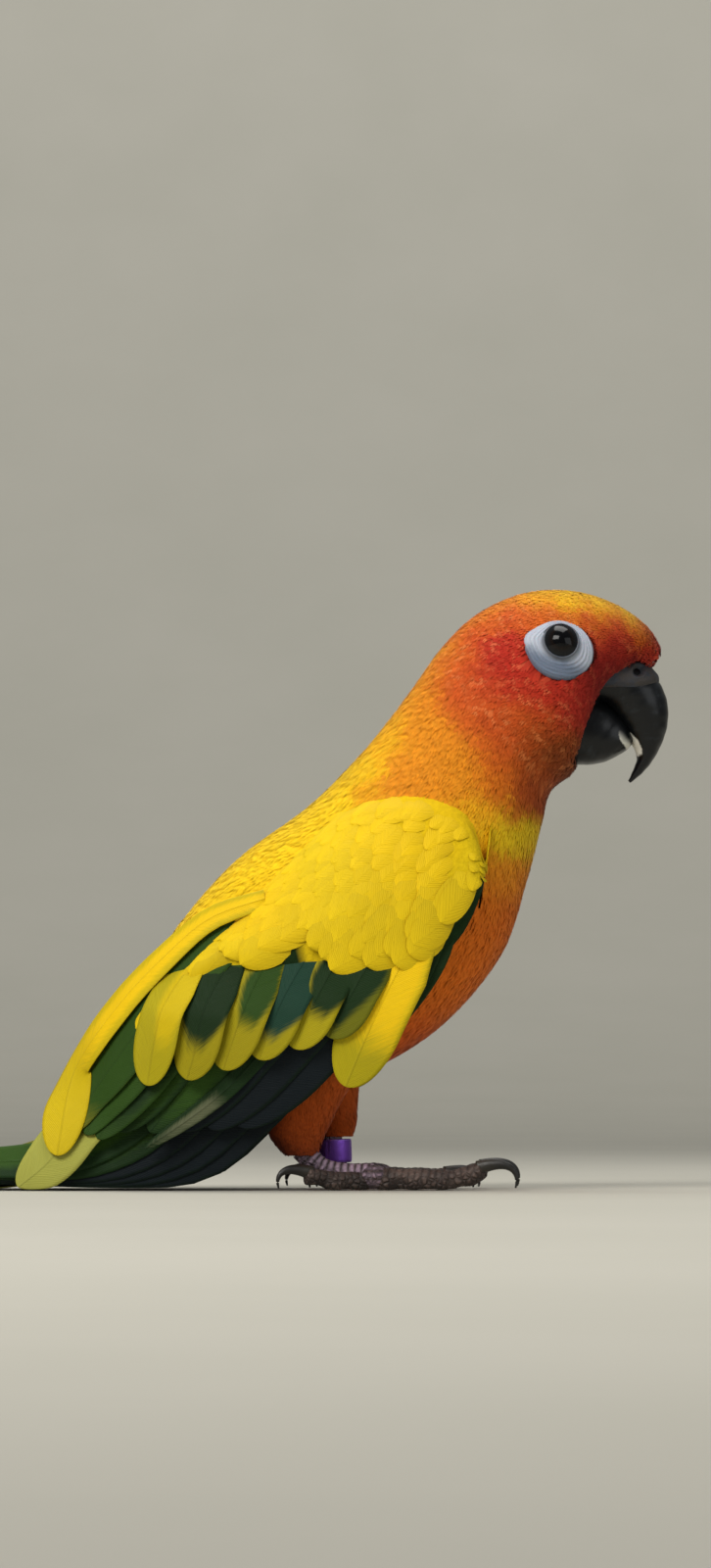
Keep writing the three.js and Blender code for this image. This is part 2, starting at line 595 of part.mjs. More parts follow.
// Share of a feather's full width at a share of its length: a narrower root and a rounded tip.
function vaneWidth(u, round) {
  const root = mix(VANE_ROOT.width, 1, Math.min(u / VANE_ROOT.until, 1));
  const tip = u < 1 - round ? 1 : Math.sqrt(Math.max(1 - ((u - 1 + round) / round) ** 2, 0));
  return root * Math.max(tip, VANE_END);
}

function wingFeather(row, share, side) {
  const last = row.last ?? row.first;
  const path = new THREE.SplineCurve(mixPoints(row.first.path, last.path, share).map((p) => new THREE.Vector2(...p)));
  const [rootOut, tipOut] = [0, 1].map((end) => mix(row.first.out[end], last.out[end], share));
  const stops = row.stack > 0 ? LONG_VANE_STOPS : VANE_STOPS;
  const frames = stops.map((u) => {
    const crowd = row.stack * share * THREE.MathUtils.smoothstep(u, ...CROWDED);
    const out = CLOAK_OUT + mix(rootOut, tipOut, Math.min(u / LIFTED, 1)) + crowd;
    const p = path.getPointAt(u);
    return { u, ...cloakFrame(p.x, p.y, side, out) };
  });
  const tilt = THREE.MathUtils.degToRad(row.tilt);
  return vane(frames.map((frame, k) => {
    const ahead = frames[Math.min(k + 1, frames.length - 1)].point.clone().sub(frames[Math.max(k - 1, 0)].point);
    const down = ahead.clone().cross(frame.normal).normalize();
    if (down.z > 0) down.negate();
    const normal = down.clone().cross(ahead).normalize();
    if (normal.dot(frame.normal) < 0) normal.negate();
    return {
      centre: frame.point,
      across: down.clone().multiplyScalar(Math.cos(tilt)).addScaledVector(normal, Math.sin(tilt)),
      half: (row.width / 2) * vaneWidth(frame.u, row.round),
      normal: normal.clone().multiplyScalar(Math.cos(tilt)).addScaledVector(down, -Math.sin(tilt)),
    };
  }), row.thick);
}

// The arm under the small coverts: a low mound over the body's side.
function wingArm(side) {
  const [steps, sides] = [10, 7];
  const top = new THREE.SplineCurve(ARM_TOP.map((p) => new THREE.Vector2(...p)));
  const low = new THREE.SplineCurve(ARM_LOW.map((p) => new THREE.Vector2(...p)));
  const rings = Array.from({ length: steps + 1 }, (_, k) => {
    const u = k / steps;
    const [a, b] = [top.getPoint(u), low.getPoint(u)];
    const rise = (ARM_THICK - ARM_RIM) * Math.sin(Math.PI * mix(...ARM_ALONG, u)) ** 0.5;
    const point = (v, out) => {
      const p = a.clone().lerp(b, v);
      return cloakFrame(p.x, p.y, side, out).point;
    };
    const outer = Array.from({ length: sides + 1 }, (_, j) => {
      const v = j / sides;
      return point(v, CLOAK_OUT + ARM_RIM + rise * Math.sin(Math.PI * mix(...ARM_ACROSS, v)) ** 0.7);
    });
    const inner = Array.from({ length: sides + 1 }, (_, j) => point(1 - j / sides, -ARM_SUNK));
    return [...outer, ...inner];
  });
  return loft(rings);
}

function wing(side) {
  const feathers = WING_ROWS.flatMap((row) => Array.from({ length: row.count }, (_, k) =>
    wingFeather(row, k / Math.max(row.count - 1, 1), side)));
  const leg = side < 0 ? LEGS.right : LEGS.left;
  return largest(cutBy(joined([wingArm(side), ...feathers]), [torsoWith(GAP), neckWith(GAP), thighWith(leg, GAP),
    tailSleeve(), slabUnder(FLOOR_CLEAR), beyondMiddle(side)]));
}

// Tail

const tailTip = (pair) => mix(TAIL_TIPS.middle, TAIL_TIPS.outermost, (pair / (TAIL_PAIRS - 1)) ** TAIL_FAN);

// How many pairs a tail feather still lies on at x: it droops to the floor past the shorter ones.
function pairsUnder(pair, x) {
  let under = 0;
  for (let k = pair + 1; k < TAIL_PAIRS; k++) {
    const [from, to] = TAIL_DROOP.map((past) => past - tailTip(k));
    under += 1 - THREE.MathUtils.smoothstep(-x, from, to);
  }
  return under;
}

function tailFeather(pair, side) {
  const inner = mix(TAIL_INNER.middle, TAIL_INNER.outermost, pair / (TAIL_PAIRS - 1));
  const half = (u) => (TAIL_VANE / 2) * vaneWidth(u, TAIL_TAPER);
  const centre = (u) => {
    const x = mix(TAIL_ROOT[0], tailTip(pair), u);
    const settled = 1 - (1 - Math.min((TAIL_ROOT[0] - x) / TAIL_SETTLE, 1)) ** 2;
    const level = VANE_THICK / 2 + TAIL_STEP * pairsUnder(pair, x);
    return new THREE.Vector3(x, side * (inner + half(u)), mix(TAIL_ROOT[1] - TAIL_FALL * pair, level, settled));
  };
  const across = new THREE.Vector3(0, side, 0);
  return vane(TAIL_STOPS.map((u) => {
    const ahead = centre(Math.min(u + 0.02, 1)).sub(centre(Math.max(u - 0.02, 0))).setY(0);
    const normal = ahead.cross(across).normalize();
    if (normal.z < 0) normal.negate();
    return { centre: centre(u), across, half: half(u), normal };
  }), VANE_THICK);
}

function tailCore() {
  const sides = 14;
  return loft(TAIL_CORE.map((s) => Array.from({ length: sides }, (_, j) => {
    const turn = (j / sides) * 2 * Math.PI;
    return new THREE.Vector3(s.x, s.half * Math.cos(turn), s.z + s.tall * Math.sin(turn));
  })));
}

// The small feathers over the tail's root, from the middle to the side.
function tailCovert(k, side) {
  const { count, width, round, inner, outer } = TAIL_COVERTS;
  const share = k / (count - 1);
  const curve = new THREE.QuadraticBezierCurve3(...inner.curve.map(([x, y, z], i) => new THREE.Vector3(
    mix(x, outer.curve[i][0], share), side * mix(y, outer.curve[i][1], share), mix(z, outer.curve[i][2], share))));
  const lean = mix(inner.lean, outer.lean, share);
  const across = new THREE.Vector3(0, side * Math.cos(lean), -Math.sin(lean));
  return vane(VANE_STOPS.map((u) => {
    const normal = curve.getTangent(u).cross(across).normalize();
    if (normal.z < 0) normal.negate();
    return { centre: curve.getPoint(u), across, half: (width / 2) * vaneWidth(u, round), normal };
  }), COVERT_THICK);
}

function tail() {
  const pieces = [tailCore()];
  for (const side of [-1, 1]) {
    for (let pair = 0; pair < TAIL_PAIRS; pair++) pieces.push(tailFeather(pair, side));
    for (let k = 0; k < TAIL_COVERTS.count; k++) pieces.push(tailCovert(k, side));
  }
  return largest(cutBy(joined(pieces), [torsoWith(GAP), slabUnder(0)]));
}

// The space that the tail takes, with the gap that the wings keep from it.
function tailSleeve() {
  const { x, high, rise, under } = SLEEVE;
  const half = TAIL_INNER.outermost + TAIL_VANE + GAP;
  const ring = [...SLEEVE_ARCH, ...SLEEVE_ARCH.toReversed().map(([y, z]) => [-y, z])];
  return loft(x.map((at) => {
    const share = THREE.MathUtils.clamp((at - rise[0]) / (rise[1] - rise[0]), 0, 1);
    const tall = GAP + mix(...high, share);
    const arch = ring.map(([y, z]) => new THREE.Vector3(at, y * half, z * tall));
    return [new THREE.Vector3(at, -half, under), new THREE.Vector3(at, half, under), ...arch];
  }));
}

// The scene graph

function meshOf(name, solid, colour, roughness = 0.7) {
  const made = solid.getMesh();
  const positions = new Float32Array(made.numVert * 3);
  for (let i = 0; i < made.numVert; i++) {
    positions.set(made.vertProperties.subarray(i * made.numProp, i * made.numProp + 3), i * 3);
  }
  const geometry = new THREE.BufferGeometry();
  geometry.setAttribute("position", new THREE.BufferAttribute(positions, 3));
  geometry.setIndex(new THREE.BufferAttribute(made.triVerts, 1));
  const mesh = new THREE.Mesh(geometry, new THREE.MeshStandardMaterial({ color: colour, roughness, metalness: 0 }));
  mesh.name = name;
  return mesh;
}

function legMeshes(word, leg) {
  const thigh = largest(cutBy(thighWith(leg), [torsoWith(GAP)]));
  const foot = largest(cutBy(footWith(leg), [thighWith(leg, GAP), slabUnder(0)]));
  const meshes = [
    meshOf(`thigh_${word}`, thigh, COLOURS.orange),
    meshOf(`foot_${word}`, foot, COLOURS.scale),
  ];
  TOES.forEach((toe, k) => {
    const earlier = TOES.slice(0, k).map((other) => toeWith(other, leg, GAP));
    const solid = largest(cutBy(toeWith(toe, leg), [footWith(leg, GAP), ...earlier, slabUnder(0)]));
    meshes.push(meshOf(`toe_${toe.name}_${word}`, solid, COLOURS.scale));
    meshes.push(meshOf(`claw_${toe.name}_${word}`, claw(toe, leg), COLOURS.claw, 0.4));
  });
  return meshes;
}

const bird = new THREE.Group();
const head = largest(cutBy(headWith(0), [eyeBall(-1, GAP), eyeBall(1, GAP)]));
bird.add(
  meshOf("head", head, COLOURS.red),
  meshOf("neck", neckWith(0), COLOURS.orange),
  meshOf("torso", torsoWith(0), COLOURS.orange),
  meshOf("bill_upper", upperBill(), COLOURS.horn, 0.35),
  meshOf("bill_lower", lowerBill(), COLOURS.horn, 0.35),
  meshOf("cere", cere(), COLOURS.cere),
  meshOf("tail", tail(), COLOURS.olive),
  meshOf("leg_band", legBand(), COLOURS.band, 0.3),
);
for (const [word, leg] of Object.entries(LEGS)) {
  bird.add(
    meshOf(`eye_${word}`, eyeBall(leg.side), COLOURS.eye, 0.1),
    meshOf(`eye_ring_${word}`, eyeRing(leg.side), COLOURS.bare),
    meshOf(`wing_${word}`, wing(leg.side), COLOURS.yellow),
    ...legMeshes(word, leg),
  );
}

// The origin is at the middle of the model's footprint, on the floor.
const extent = new THREE.Box3().setFromObject(bird);
const middle = extent.getCenter(new THREE.Vector3());
bird.position.set(-middle.x, -middle.y, -extent.min.z);

export default bird;
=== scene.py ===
"""Sun conure: a still, life-size model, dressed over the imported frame.

Sizes are millimetres in the side view that the bird is drawn in: x runs the way it faces, y is its
left and z is up from the floor. Every mesh is moved into the frame and written in metres.
"""

import logging
import math
from collections.abc import Callable
from dataclasses import dataclass, field
from enum import Enum
from math import pi

import bpy
import numpy as np
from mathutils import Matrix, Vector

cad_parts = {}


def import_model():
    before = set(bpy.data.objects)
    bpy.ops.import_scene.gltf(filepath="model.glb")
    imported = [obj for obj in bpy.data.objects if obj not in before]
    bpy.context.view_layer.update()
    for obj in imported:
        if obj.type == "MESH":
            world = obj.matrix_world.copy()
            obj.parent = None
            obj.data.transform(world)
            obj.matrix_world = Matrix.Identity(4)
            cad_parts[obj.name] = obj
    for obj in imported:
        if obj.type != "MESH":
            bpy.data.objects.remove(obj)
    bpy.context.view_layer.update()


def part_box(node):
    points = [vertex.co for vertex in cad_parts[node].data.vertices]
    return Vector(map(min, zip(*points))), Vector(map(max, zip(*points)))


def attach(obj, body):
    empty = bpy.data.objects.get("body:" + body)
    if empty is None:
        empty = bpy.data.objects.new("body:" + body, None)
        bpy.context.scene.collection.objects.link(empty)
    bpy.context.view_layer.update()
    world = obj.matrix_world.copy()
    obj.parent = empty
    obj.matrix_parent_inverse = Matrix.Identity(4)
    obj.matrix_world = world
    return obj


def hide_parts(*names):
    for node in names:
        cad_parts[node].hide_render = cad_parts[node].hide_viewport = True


Array = np.ndarray
Material = bpy.types.Material
Pair = tuple[float, float]
log = logging.getLogger("conure")

RIGHT, LEFT = -1, 1
SIDES = {"right": RIGHT, "left": LEFT}
BAKE_MAP = "OFBake"
BAKE_PATCH = 0.003

# Seeds of the small feathers
BODY_SEED, THIGH_SEED, WING_SEED = 40, 60, 70

# The distance from plate to plate on the toes
SCUTE_PITCH = 1.25


# Colours


class Hue(Enum):
    """The bird's colours, as they look in even light; a few also hold painted shade."""

    GOLD = "#f0b60a"
    YELLOW = "#ebc20c"
    LEMON = "#e8c612"
    AMBER = "#e8a412"
    APRICOT = "#e08a16"
    ORANGE = "#d66a12"
    EMBER = "#c9521c"
    SCARLET = "#b3291a"
    CRIMSON = "#8e1a12"
    # Dark reds and browns: the bird's own colour with painted shade in it, under the bill and low on the
    # body.
    RUST_AND_SHADE = "#a84812"
    UMBER_AND_SHADE = "#6f3410"
    VENT_AND_SHADE = "#4a1a0b"
    STRAW = "#ee9a62"
    LEAF = "#2d4a14"
    DEEP_GREEN = "#182f12"
    TEAL = "#1d3f30"
    # Yellow darkened to mustard: partly the coverts' own olive tone, partly painted shade on the lower wing.
    MUSTARD_IN_SHADE = "#a89a12"
    DULL_YELLOW = "#c6ac0c"
    WORN = "#5f6449"
    OLIVE = "#6d6d12"
    NAVY = "#0e171c"
    SOOT = "#15171a"
    PALE_LIME = "#a3a348"
    HORN = "#090b0d"
    HORN_PALE = "#353b3f"
    CHALK = "#d2d0c4"
    CERE = "#3d3835"
    BARE_PALE = "#b6bdcb"
    # Blue-grey of the bare skin in patches, and the painted shade low on the eye ring.
    BARE_BLUE_AND_SHADE = "#6a778c"
    BARE_DARK = "#2f353f"
    IRIS = "#130c08"
    PUPIL = "#050507"
    SCALE = "#66554d"
    SCALE_DARK = "#352a26"
    MAUVE = "#b49ab0"
    CLAW = "#171512"
    CLAW_PALE = "#3a352c"
    BAND = "#7a4cb4"
    BAND_PALE = "#a07be0"
    PAPER = "#b9b6ab"
    WALL = "#b0aea2"

    @property
    def srgb(self) -> Array:
        """The colour as three numbers from 0 to 1, as a screen shows it."""
        return np.array([int(self.value[i:i + 2], 16) for i in (1, 3, 5)]) / 255

    @property
    def linear(self) -> tuple[float, float, float, float]:
        """The colour as a shader wants it, with full alpha."""
        return (*linear(self.srgb), 1.0)


def linear(srgb: Array) -> Array:
    """Screen colours as linear light: c / 12.92 in the dark, ((c + 0.055) / 1.055) ^ 2.4 elsewhere."""
    c = np.clip(srgb, 0, 1)
    return np.where(c <= 0.04045, c / 12.92, ((c + 0.055) / 1.055) ** 2.4)


# Numbers


def mix(a: Array | float, b: Array | float, share: Array | float) -> Array | float:
    """The value that lies at a share of the way from a to b."""
    return a + (b - a) * share


def smooth(low: float, high: float, x: Array) -> Array:
    """0 below low and 1 above high, by s^2 (3 - 2 s) between them."""
    s = np.clip((x - low) / (high - low), 0, 1)
    return s * s * (3 - 2 * s)


def unit(vectors: Array) -> Array:
    """Vectors brought to a length of one."""
    return vectors / np.maximum(np.linalg.norm(vectors, axis=-1, keepdims=True), 1e-9)


def towards(vectors: Array, guide: Array | tuple) -> Array:
    """Vectors, each turned about where it points away from a guide."""
    return vectors * np.where((vectors * guide).sum(-1, keepdims=True) < 0, -1, 1)


def turns(count: int) -> Array:
    """Even angles round a full turn."""
    return np.linspace(0, 2 * pi, count, endpoint=False)


def crowding(count: int, power: float = 0.9) -> Array:
    """Shares of a feather's length that crowd towards its tip: sin(pi s / 2) ^ power at even s."""
    return np.sin(np.linspace(0, 1, count) * pi / 2) ** power


def turned(x: Array, z: Array, angle: float) -> tuple[Array, Array]:
    """Places in side view turned about the origin."""
    cos, sin = math.cos(angle), math.sin(angle)
    return x * cos - z * sin, x * sin + z * cos


def in_space(flat: Array, y: Array) -> Array:
    """Places in side view moved out to y."""
    return np.stack([flat[..., 0], y, flat[..., 1]], -1)


def between(values: Array, t: Array) -> Array:
    """Smooth values between stations, on a Catmull-Rom curve through the rows of values.

    At i + u the value is b + u/2 (c - a + u (2a - 5b + 4c - d + u (3 (b - c) + d - a))), where
    a, b, c, d are the rows i - 1 to i + 2, held at the ends.

    Args:
        values: one row for each station.
        t: places along the stations, in any shape.

    Returns:
        A row of values for each place.
    """
    last = len(values) - 1
    t = np.asarray(t, float)
    i = np.clip(np.floor(t).astype(int), 0, last - 1)
    u = (t - i)[..., None]
    a, b, c, d = (values[np.clip(i + k, 0, last)] for k in (-1, 0, 1, 2))
    return b + 0.5 * u * (c - a + u * (2 * a - 5 * b + 4 * c - d + u * (3 * (b - c) + d - a)))


def along_path(points: Array, shares: Array) -> Array:
    """Points at shares of a curve's length, on a Catmull-Rom curve through a few points.

    Args:
        points: the points that the curve passes through.
        shares: shares of its length, from 0 to 1.

    Returns:
        The point at each share.
    """
    t = np.linspace(0, len(points) - 1, 24 * len(points))
    dense = between(np.asarray(points, float), t)
    run = np.concatenate([[0], np.cumsum(np.linalg.norm(np.diff(dense, axis=0), axis=1))])
    where = np.interp(np.asarray(shares) * run[-1], run, t)
    return between(np.asarray(points, float), where)


def ripple(points: Array, size: float, seed: int) -> Array:
    """Smooth seeded noise of about -1 to 1: the mean of nine sines along random directions.

    Args:
        points: places in space.
        size: the usual distance from crest to crest.
        seed: of the random directions.

    Returns:
        A value for each place.
    """
    rng = np.random.default_rng(seed)
    waves = unit(rng.normal(size=(9, 3))) * (2 * pi / size) * rng.uniform(0.6, 1.6, (9, 1))
    return np.sin(points @ waves.T + rng.uniform(0, 2 * pi, 9)).mean(-1) * 1.8


def inside(x: Array, z: Array, outline: Array) -> Array:
    """Which places lie inside an outline in side view, by counting the edges that each ray crosses.

    Args:
        x: places along the bird.
        z: their heights.
        outline: the outline's corners, in order.

    Returns:
        True for each place inside.
    """
    a = np.asarray(outline, float)
    b = np.roll(a, -1, axis=0)
    x, z = x[..., None], z[..., None]
    spans = (a[:, 1] > z) != (b[:, 1] > z)
    rise = np.where(b[:, 1] == a[:, 1], 1e-9, b[:, 1] - a[:, 1])
    crossing = a[:, 0] + (z - a[:, 1]) * (b[:, 0] - a[:, 0]) / rise
    return (spans & (x < crossing)).sum(-1) % 2 == 1


# Shapes


@dataclass
class Shape:
    """Points and faces, with what the finish reads at each point."""

    points: Array
    quads: Array = field(default_factory=lambda: np.zeros((0, 4), int))
    tris: Array = field(default_factory=lambda: np.zeros((0, 3), int))
    data: dict[str, Array] = field(default_factory=dict)
    maps: dict[str, Array] = field(default_factory=dict)

    def triangles(self) -> Array:
        """Every face as triangles."""
        return np.concatenate([self.quads[:, [0, 1, 2]], self.quads[:, [0, 2, 3]], self.tris])

    def outward(self) -> "Shape":
        """The closed shape with its faces out: its volume, the sum of a . (b x c) / 6, is positive.

        Returns:
            This shape.
        """
        a, b, c = (self.points[self.triangles()[:, k]] for k in range(3))
        if np.sum(a * np.cross(b, c)) < 0:
            self.quads = self.quads[:, ::-1]
            self.tris = self.tris[:, ::-1]
        return self


def joined(shapes: list[Shape]) -> Shape:
    """Several shapes as one, with the numbers of their points moved up in turn.

    Args:
        shapes: shapes that carry the same data and maps.

    Returns:
        One shape.
    """
    starts = np.cumsum([0] + [len(s.points) for s in shapes[:-1]])
    return Shape(
        np.concatenate([s.points for s in shapes]),
        np.concatenate([s.quads + n for s, n in zip(shapes, starts)]),
        np.concatenate([s.tris + n for s, n in zip(shapes, starts)]),
        {key: np.concatenate([s.data[key] for s in shapes]) for key in shapes[0].data},
        {key: np.concatenate([s.maps[key] for s in shapes]) for key in shapes[0].maps},
    )


def sheet_faces(rows: int, columns: int, wrap: bool = False) -> Array:
    """The four-sided faces of a grid of points, row by row.

    Args:
        rows: rows of points.
        columns: points in a row.
        wrap: whether the last column meets the first.

    Returns:
        Four point numbers for each face.
    """
    i, j = np.meshgrid(np.arange(rows - 1), np.arange(columns if wrap else columns - 1), indexing="ij")
    k = (j + 1) % columns
    here, ahead = i * columns, (i + 1) * columns
    return np.stack([here + j, here + k, ahead + k, ahead + j], -1).reshape(-1, 4)


def torus_faces(rows: int, columns: int) -> Array:
    """The four-sided faces of a grid of points that meets itself both ways.

    Args:
        rows: rows of points.
        columns: points in a row.

    Returns:
        Four point numbers for each face.
    """
    i, j = np.meshgrid(np.arange(rows), np.arange(columns), indexing="ij")
    here, ahead, k = i * columns, (i + 1) % rows * columns, (j + 1) % columns
    return np.stack([here + j, ahead + j, ahead + k, here + k], -1).reshape(-1, 4)


def loft(rings: Array, data: dict[str, Array] | None = None, maps: dict[str, Array] | None = None) -> Shape:
    """A closed skin over rings of points, with a fan over each end round the end ring's middle.

    Args:
        rings: rows of points round the form.
        data: values at each point of the rings.
        maps: pairs of map coordinates at each point of the rings.

    Returns:
        The closed shape, facing outwards.
    """
    rows, sides = rings.shape[:2]

    def capped(values: Array) -> Array:
        """A value for each point and for the two hubs."""
        flat = values.reshape(rows * sides, -1)
        return np.concatenate([flat, values[[0, -1]].reshape(2, sides, -1).mean(1)])

    j = np.arange(sides)
    k = (j + 1) % sides
    last = (rows - 1) * sides
    fans = np.concatenate([
        np.stack([np.full(sides, rows * sides), k, j], -1),
        np.stack([np.full(sides, rows * sides + 1), last + j, last + k], -1),
    ])
    return Shape(
        capped(rings), sheet_faces(rows, sides, wrap=True), fans,
        {key: capped(value) for key, value in (data or {}).items()},
        {key: capped(value) for key, value in (maps or {}).items()},
    ).outward()


def tube(path: Array, radii: Array, sides: int, flat: float = 1.0, shape: Array | None = None) -> Array:
    """Rings round a path: centre + r (cos a across + flat sin a up), with up square to both.

    Args:
        path: centres of the rings.
        radii: a radius for each ring.
        sides: points in a ring.
        flat: height over width.
        shape: a factor on the radius at each point of the rings.

    Returns:
        The rings' points.
    """
    ahead = unit(np.gradient(path, axis=0))
    across = unit(np.cross(ahead, np.array([0, 0, 1.0])))
    up = np.cross(across, ahead)
    angle = turns(sides)
    reach = radii[:, None] * (1 if shape is None else shape)
    return (path[:, None] + (reach * np.cos(angle))[..., None] * across[:, None]
            + (flat * reach * np.sin(angle))[..., None] * up[:, None])


def form_map(along: Array, sides: int) -> Array:
    """The map of a tube: the length along it, and the turn round it from 1 to 0 and back."""
    turn = np.abs(np.linspace(0, 2, sides, endpoint=False) - 1)
    return np.stack(np.broadcast_arrays(along[:, None], turn), -1)


def linked(name: str, data: bpy.types.ID) -> bpy.types.Object:
    """A new object in the scene that shows a mesh, a light or a camera.

    Args:
        name: its name.
        data: what it shows.

    Returns:
        The object.
    """
    made = bpy.data.objects.new(name, data)
    bpy.context.scene.collection.objects.link(made)
    return made


# Shader graphs


def operation(name: str) -> Callable[..., "Wire"]:
    """A method that adds a Math node.

    Args:
        name: the node's operation.

    Returns:
        The method.
    """
    def method(self: "Wire", *others: "Wire | float") -> "Wire":
        """This value and the others put through the node."""
        return self.graph.math(name, self, *others)

    return method


class Wire:
    """A socket's value in a shader graph. An expression on wires and numbers adds the Math nodes for it."""

    def __init__(self, graph: "Graph", socket: bpy.types.NodeSocket) -> None:
        """Holds the graph and the output socket."""
        self.graph = graph
        self.socket = socket

    __add__ = __radd__ = operation("ADD")
    __mul__ = __rmul__ = operation("MULTIPLY")
    __sub__ = operation("SUBTRACT")
    __truediv__ = operation("DIVIDE")
    __pow__ = operation("POWER")
    __abs__ = operation("ABSOLUTE")
    sine = operation("SINE")

    def __rsub__(self, other: float) -> "Wire":
        """A number less this value."""
        return self.graph.math("SUBTRACT", other, self)

    def ramp(self, low: float, high: float) -> "Wire":
        """0 below low and 1 above high, smooth between them."""
        inputs = {"Value": self, "From Min": low, "From Max": high}
        return self.graph.node("ShaderNodeMapRange", {"interpolation_type": "SMOOTHSTEP"}, inputs)


class Graph:
    """A material's nodes, added by one method."""

    def __init__(self, name: str) -> None:
        """Starts an empty material.

        Args:
            name: the material's name.
        """
        self.material = bpy.data.materials.new(name)
        self.material.use_nodes = True
        self.nodes = self.material.node_tree.nodes
        self.links = self.material.node_tree.links
        self.nodes.clear()

    def node(self, kind: str, settings: dict | None = None, inputs: dict | None = None,
             output: int | str = 0) -> Wire:
        """Adds a node.

        Args:
            kind: the node's type.
            settings: its properties, set first.
            inputs: values or wires for its sockets, by name or number.
            output: which output to return.

        Returns:
            The output as a wire.
        """
        made = self.nodes.new(kind)
        for key, value in (settings or {}).items():
            setattr(made, key, value)
        for key, value in (inputs or {}).items():
            if isinstance(value, Wire):
                self.links.new(value.socket, made.inputs[key])
            else:
                made.inputs[key].default_value = value
        return Wire(self, made.outputs[output])

    def math(self, operation: str, *values: "Wire | float") -> Wire:
        """A Math node on one or two values."""
        return self.node("ShaderNodeMath", {"operation": operation}, dict(enumerate(values)))

    def attribute(self, name: str, output: str) -> Wire:
        """A value or colour that the mesh carries."""
        return self.node("ShaderNodeAttribute", {"attribute_name": name}, output=output)

    def place(self) -> Wire:
        """The point's place in the object, in metres."""
        return self.node("ShaderNodeTexCoord", output="Object")

    def parts(self, vector: Wire) -> tuple[Wire, Wire, Wire]:
        """The three numbers of a vector."""
        outputs = self.node("ShaderNodeSeparateXYZ", inputs={0: vector}).socket.node.outputs
        return tuple(Wire(self, output) for output in outputs)

    def map(self, name: str) -> tuple[Wire, Wire]:
        """The two numbers of a map, in millimetres or shares."""
        return self.parts(self.node("ShaderNodeUVMap", {"uv_map": name}))[:2]

    def vector(self, x: Wire, y: Wire) -> Wire:
        """Two numbers as a vector."""
        return self.node("ShaderNodeCombineXYZ", inputs={0: x, 1: y})

    def noise(self, vector: Wire, scale: float, detail: float = 3.0, roughness: float = 0.55) -> Wire:
        """Cloudy noise from 0 to 1."""
        inputs = {"Vector": vector, "Scale": scale, "Detail": detail, "Roughness": roughness}
        return self.node("ShaderNodeTexNoise", inputs=inputs)

    def cells(self, vector: Wire, scale: float) -> Wire:
        """Irregular cells: the distance to the nearest edge."""
        settings = {"feature": "DISTANCE_TO_EDGE"}
        return self.node("ShaderNodeTexVoronoi", settings, {"Vector": vector, "Scale": scale})

    def blend(self, share: Wire | float, a: Wire | Hue, b: Wire | Hue, mode: str = "MIX") -> Wire:
        """Two colours mixed by a share."""
        inputs = {0: share, **{n: c.linear if isinstance(c, Hue) else c for n, c in ((6, a), (7, b))}}
        return self.node("ShaderNodeMix", {"data_type": "RGBA", "blend_type": mode}, inputs, output=2)

    def shade(self, colour: Wire, value: Wire) -> Wire:
        """A colour made darker or lighter by a factor."""
        grey = self.node("ShaderNodeCombineColor", inputs={0: value, 1: value, 2: value})
        return self.blend(1.0, colour, grey, "MULTIPLY")

    def bump(self, height: Wire, distance: float, strength: float = 1.0) -> Wire:
        """A normal raised by a height, with the distance in metres."""
        inputs = {"Height": height, "Distance": distance, "Strength": strength}
        return self.node("ShaderNodeBump", inputs=inputs)

    def finish(self, colour: Wire, normal: Wire | None, **sockets: "Wire | float") -> Material:
        """Ends the graph in one Principled shader.

        Args:
            colour: the base colour.
            normal: the bumped normal, if any.
            sockets: the shader's other sockets, with _ for a space.

        Returns:
            The material.
        """
        inputs = {key.replace("_", " "): value for key, value in sockets.items()}
        if normal is not None:
            inputs["Normal"] = normal
        shader = self.node("ShaderNodeBsdfPrincipled", inputs={"Base Color": colour, **inputs})
        output = self.nodes.new("ShaderNodeOutputMaterial")
        self.links.new(shader.socket, output.inputs["Surface"])
        return self.material


# Finishes


@dataclass(frozen=True)
class CoatFinish:
    """Small soft feathers, coloured tuft by tuft."""

    roughness: float = 0.78
    sheen: float = 0.06

    def make(self) -> Material:
        """Builds the material.

        Returns:
            The material.
        """
        g = Graph("coat")
        place = g.place()
        tint = g.attribute("tint", "Color")
        cloud = g.noise(place, 260.0)
        grain = g.noise(place, 1500.0, 2.0)
        colour = g.shade(tint, 0.84 + 0.2 * cloud + 0.12 * grain)
        normal = g.bump(grain, 0.00012, 0.5)
        return g.finish(colour, normal, Roughness=self.roughness, Sheen_Weight=self.sheen,
                        Sheen_Roughness=0.5, Specular_IOR_Level=0.16)


@dataclass(frozen=True)
class SkinFinish:
    """The skin under the coat: the coat's own markings a little darker, as painted shade between the
    feathers.
    """

    name: str = "skin"
    bright: float = 0.62

    def make(self) -> Material:
        """Builds the material.

        Returns:
            The material.
        """
        g = Graph(self.name)
        down = g.noise(g.place(), 900.0)
        # Painted shade: the skin darkened to this share of the markings, so the gaps between the feathers
        # read as shadow.
        colour = g.shade(g.attribute("tint", "Color"), self.bright + 0.3 * down)
        return g.finish(colour, g.bump(down, 0.0003), Roughness=0.9, Specular_IOR_Level=0.15)


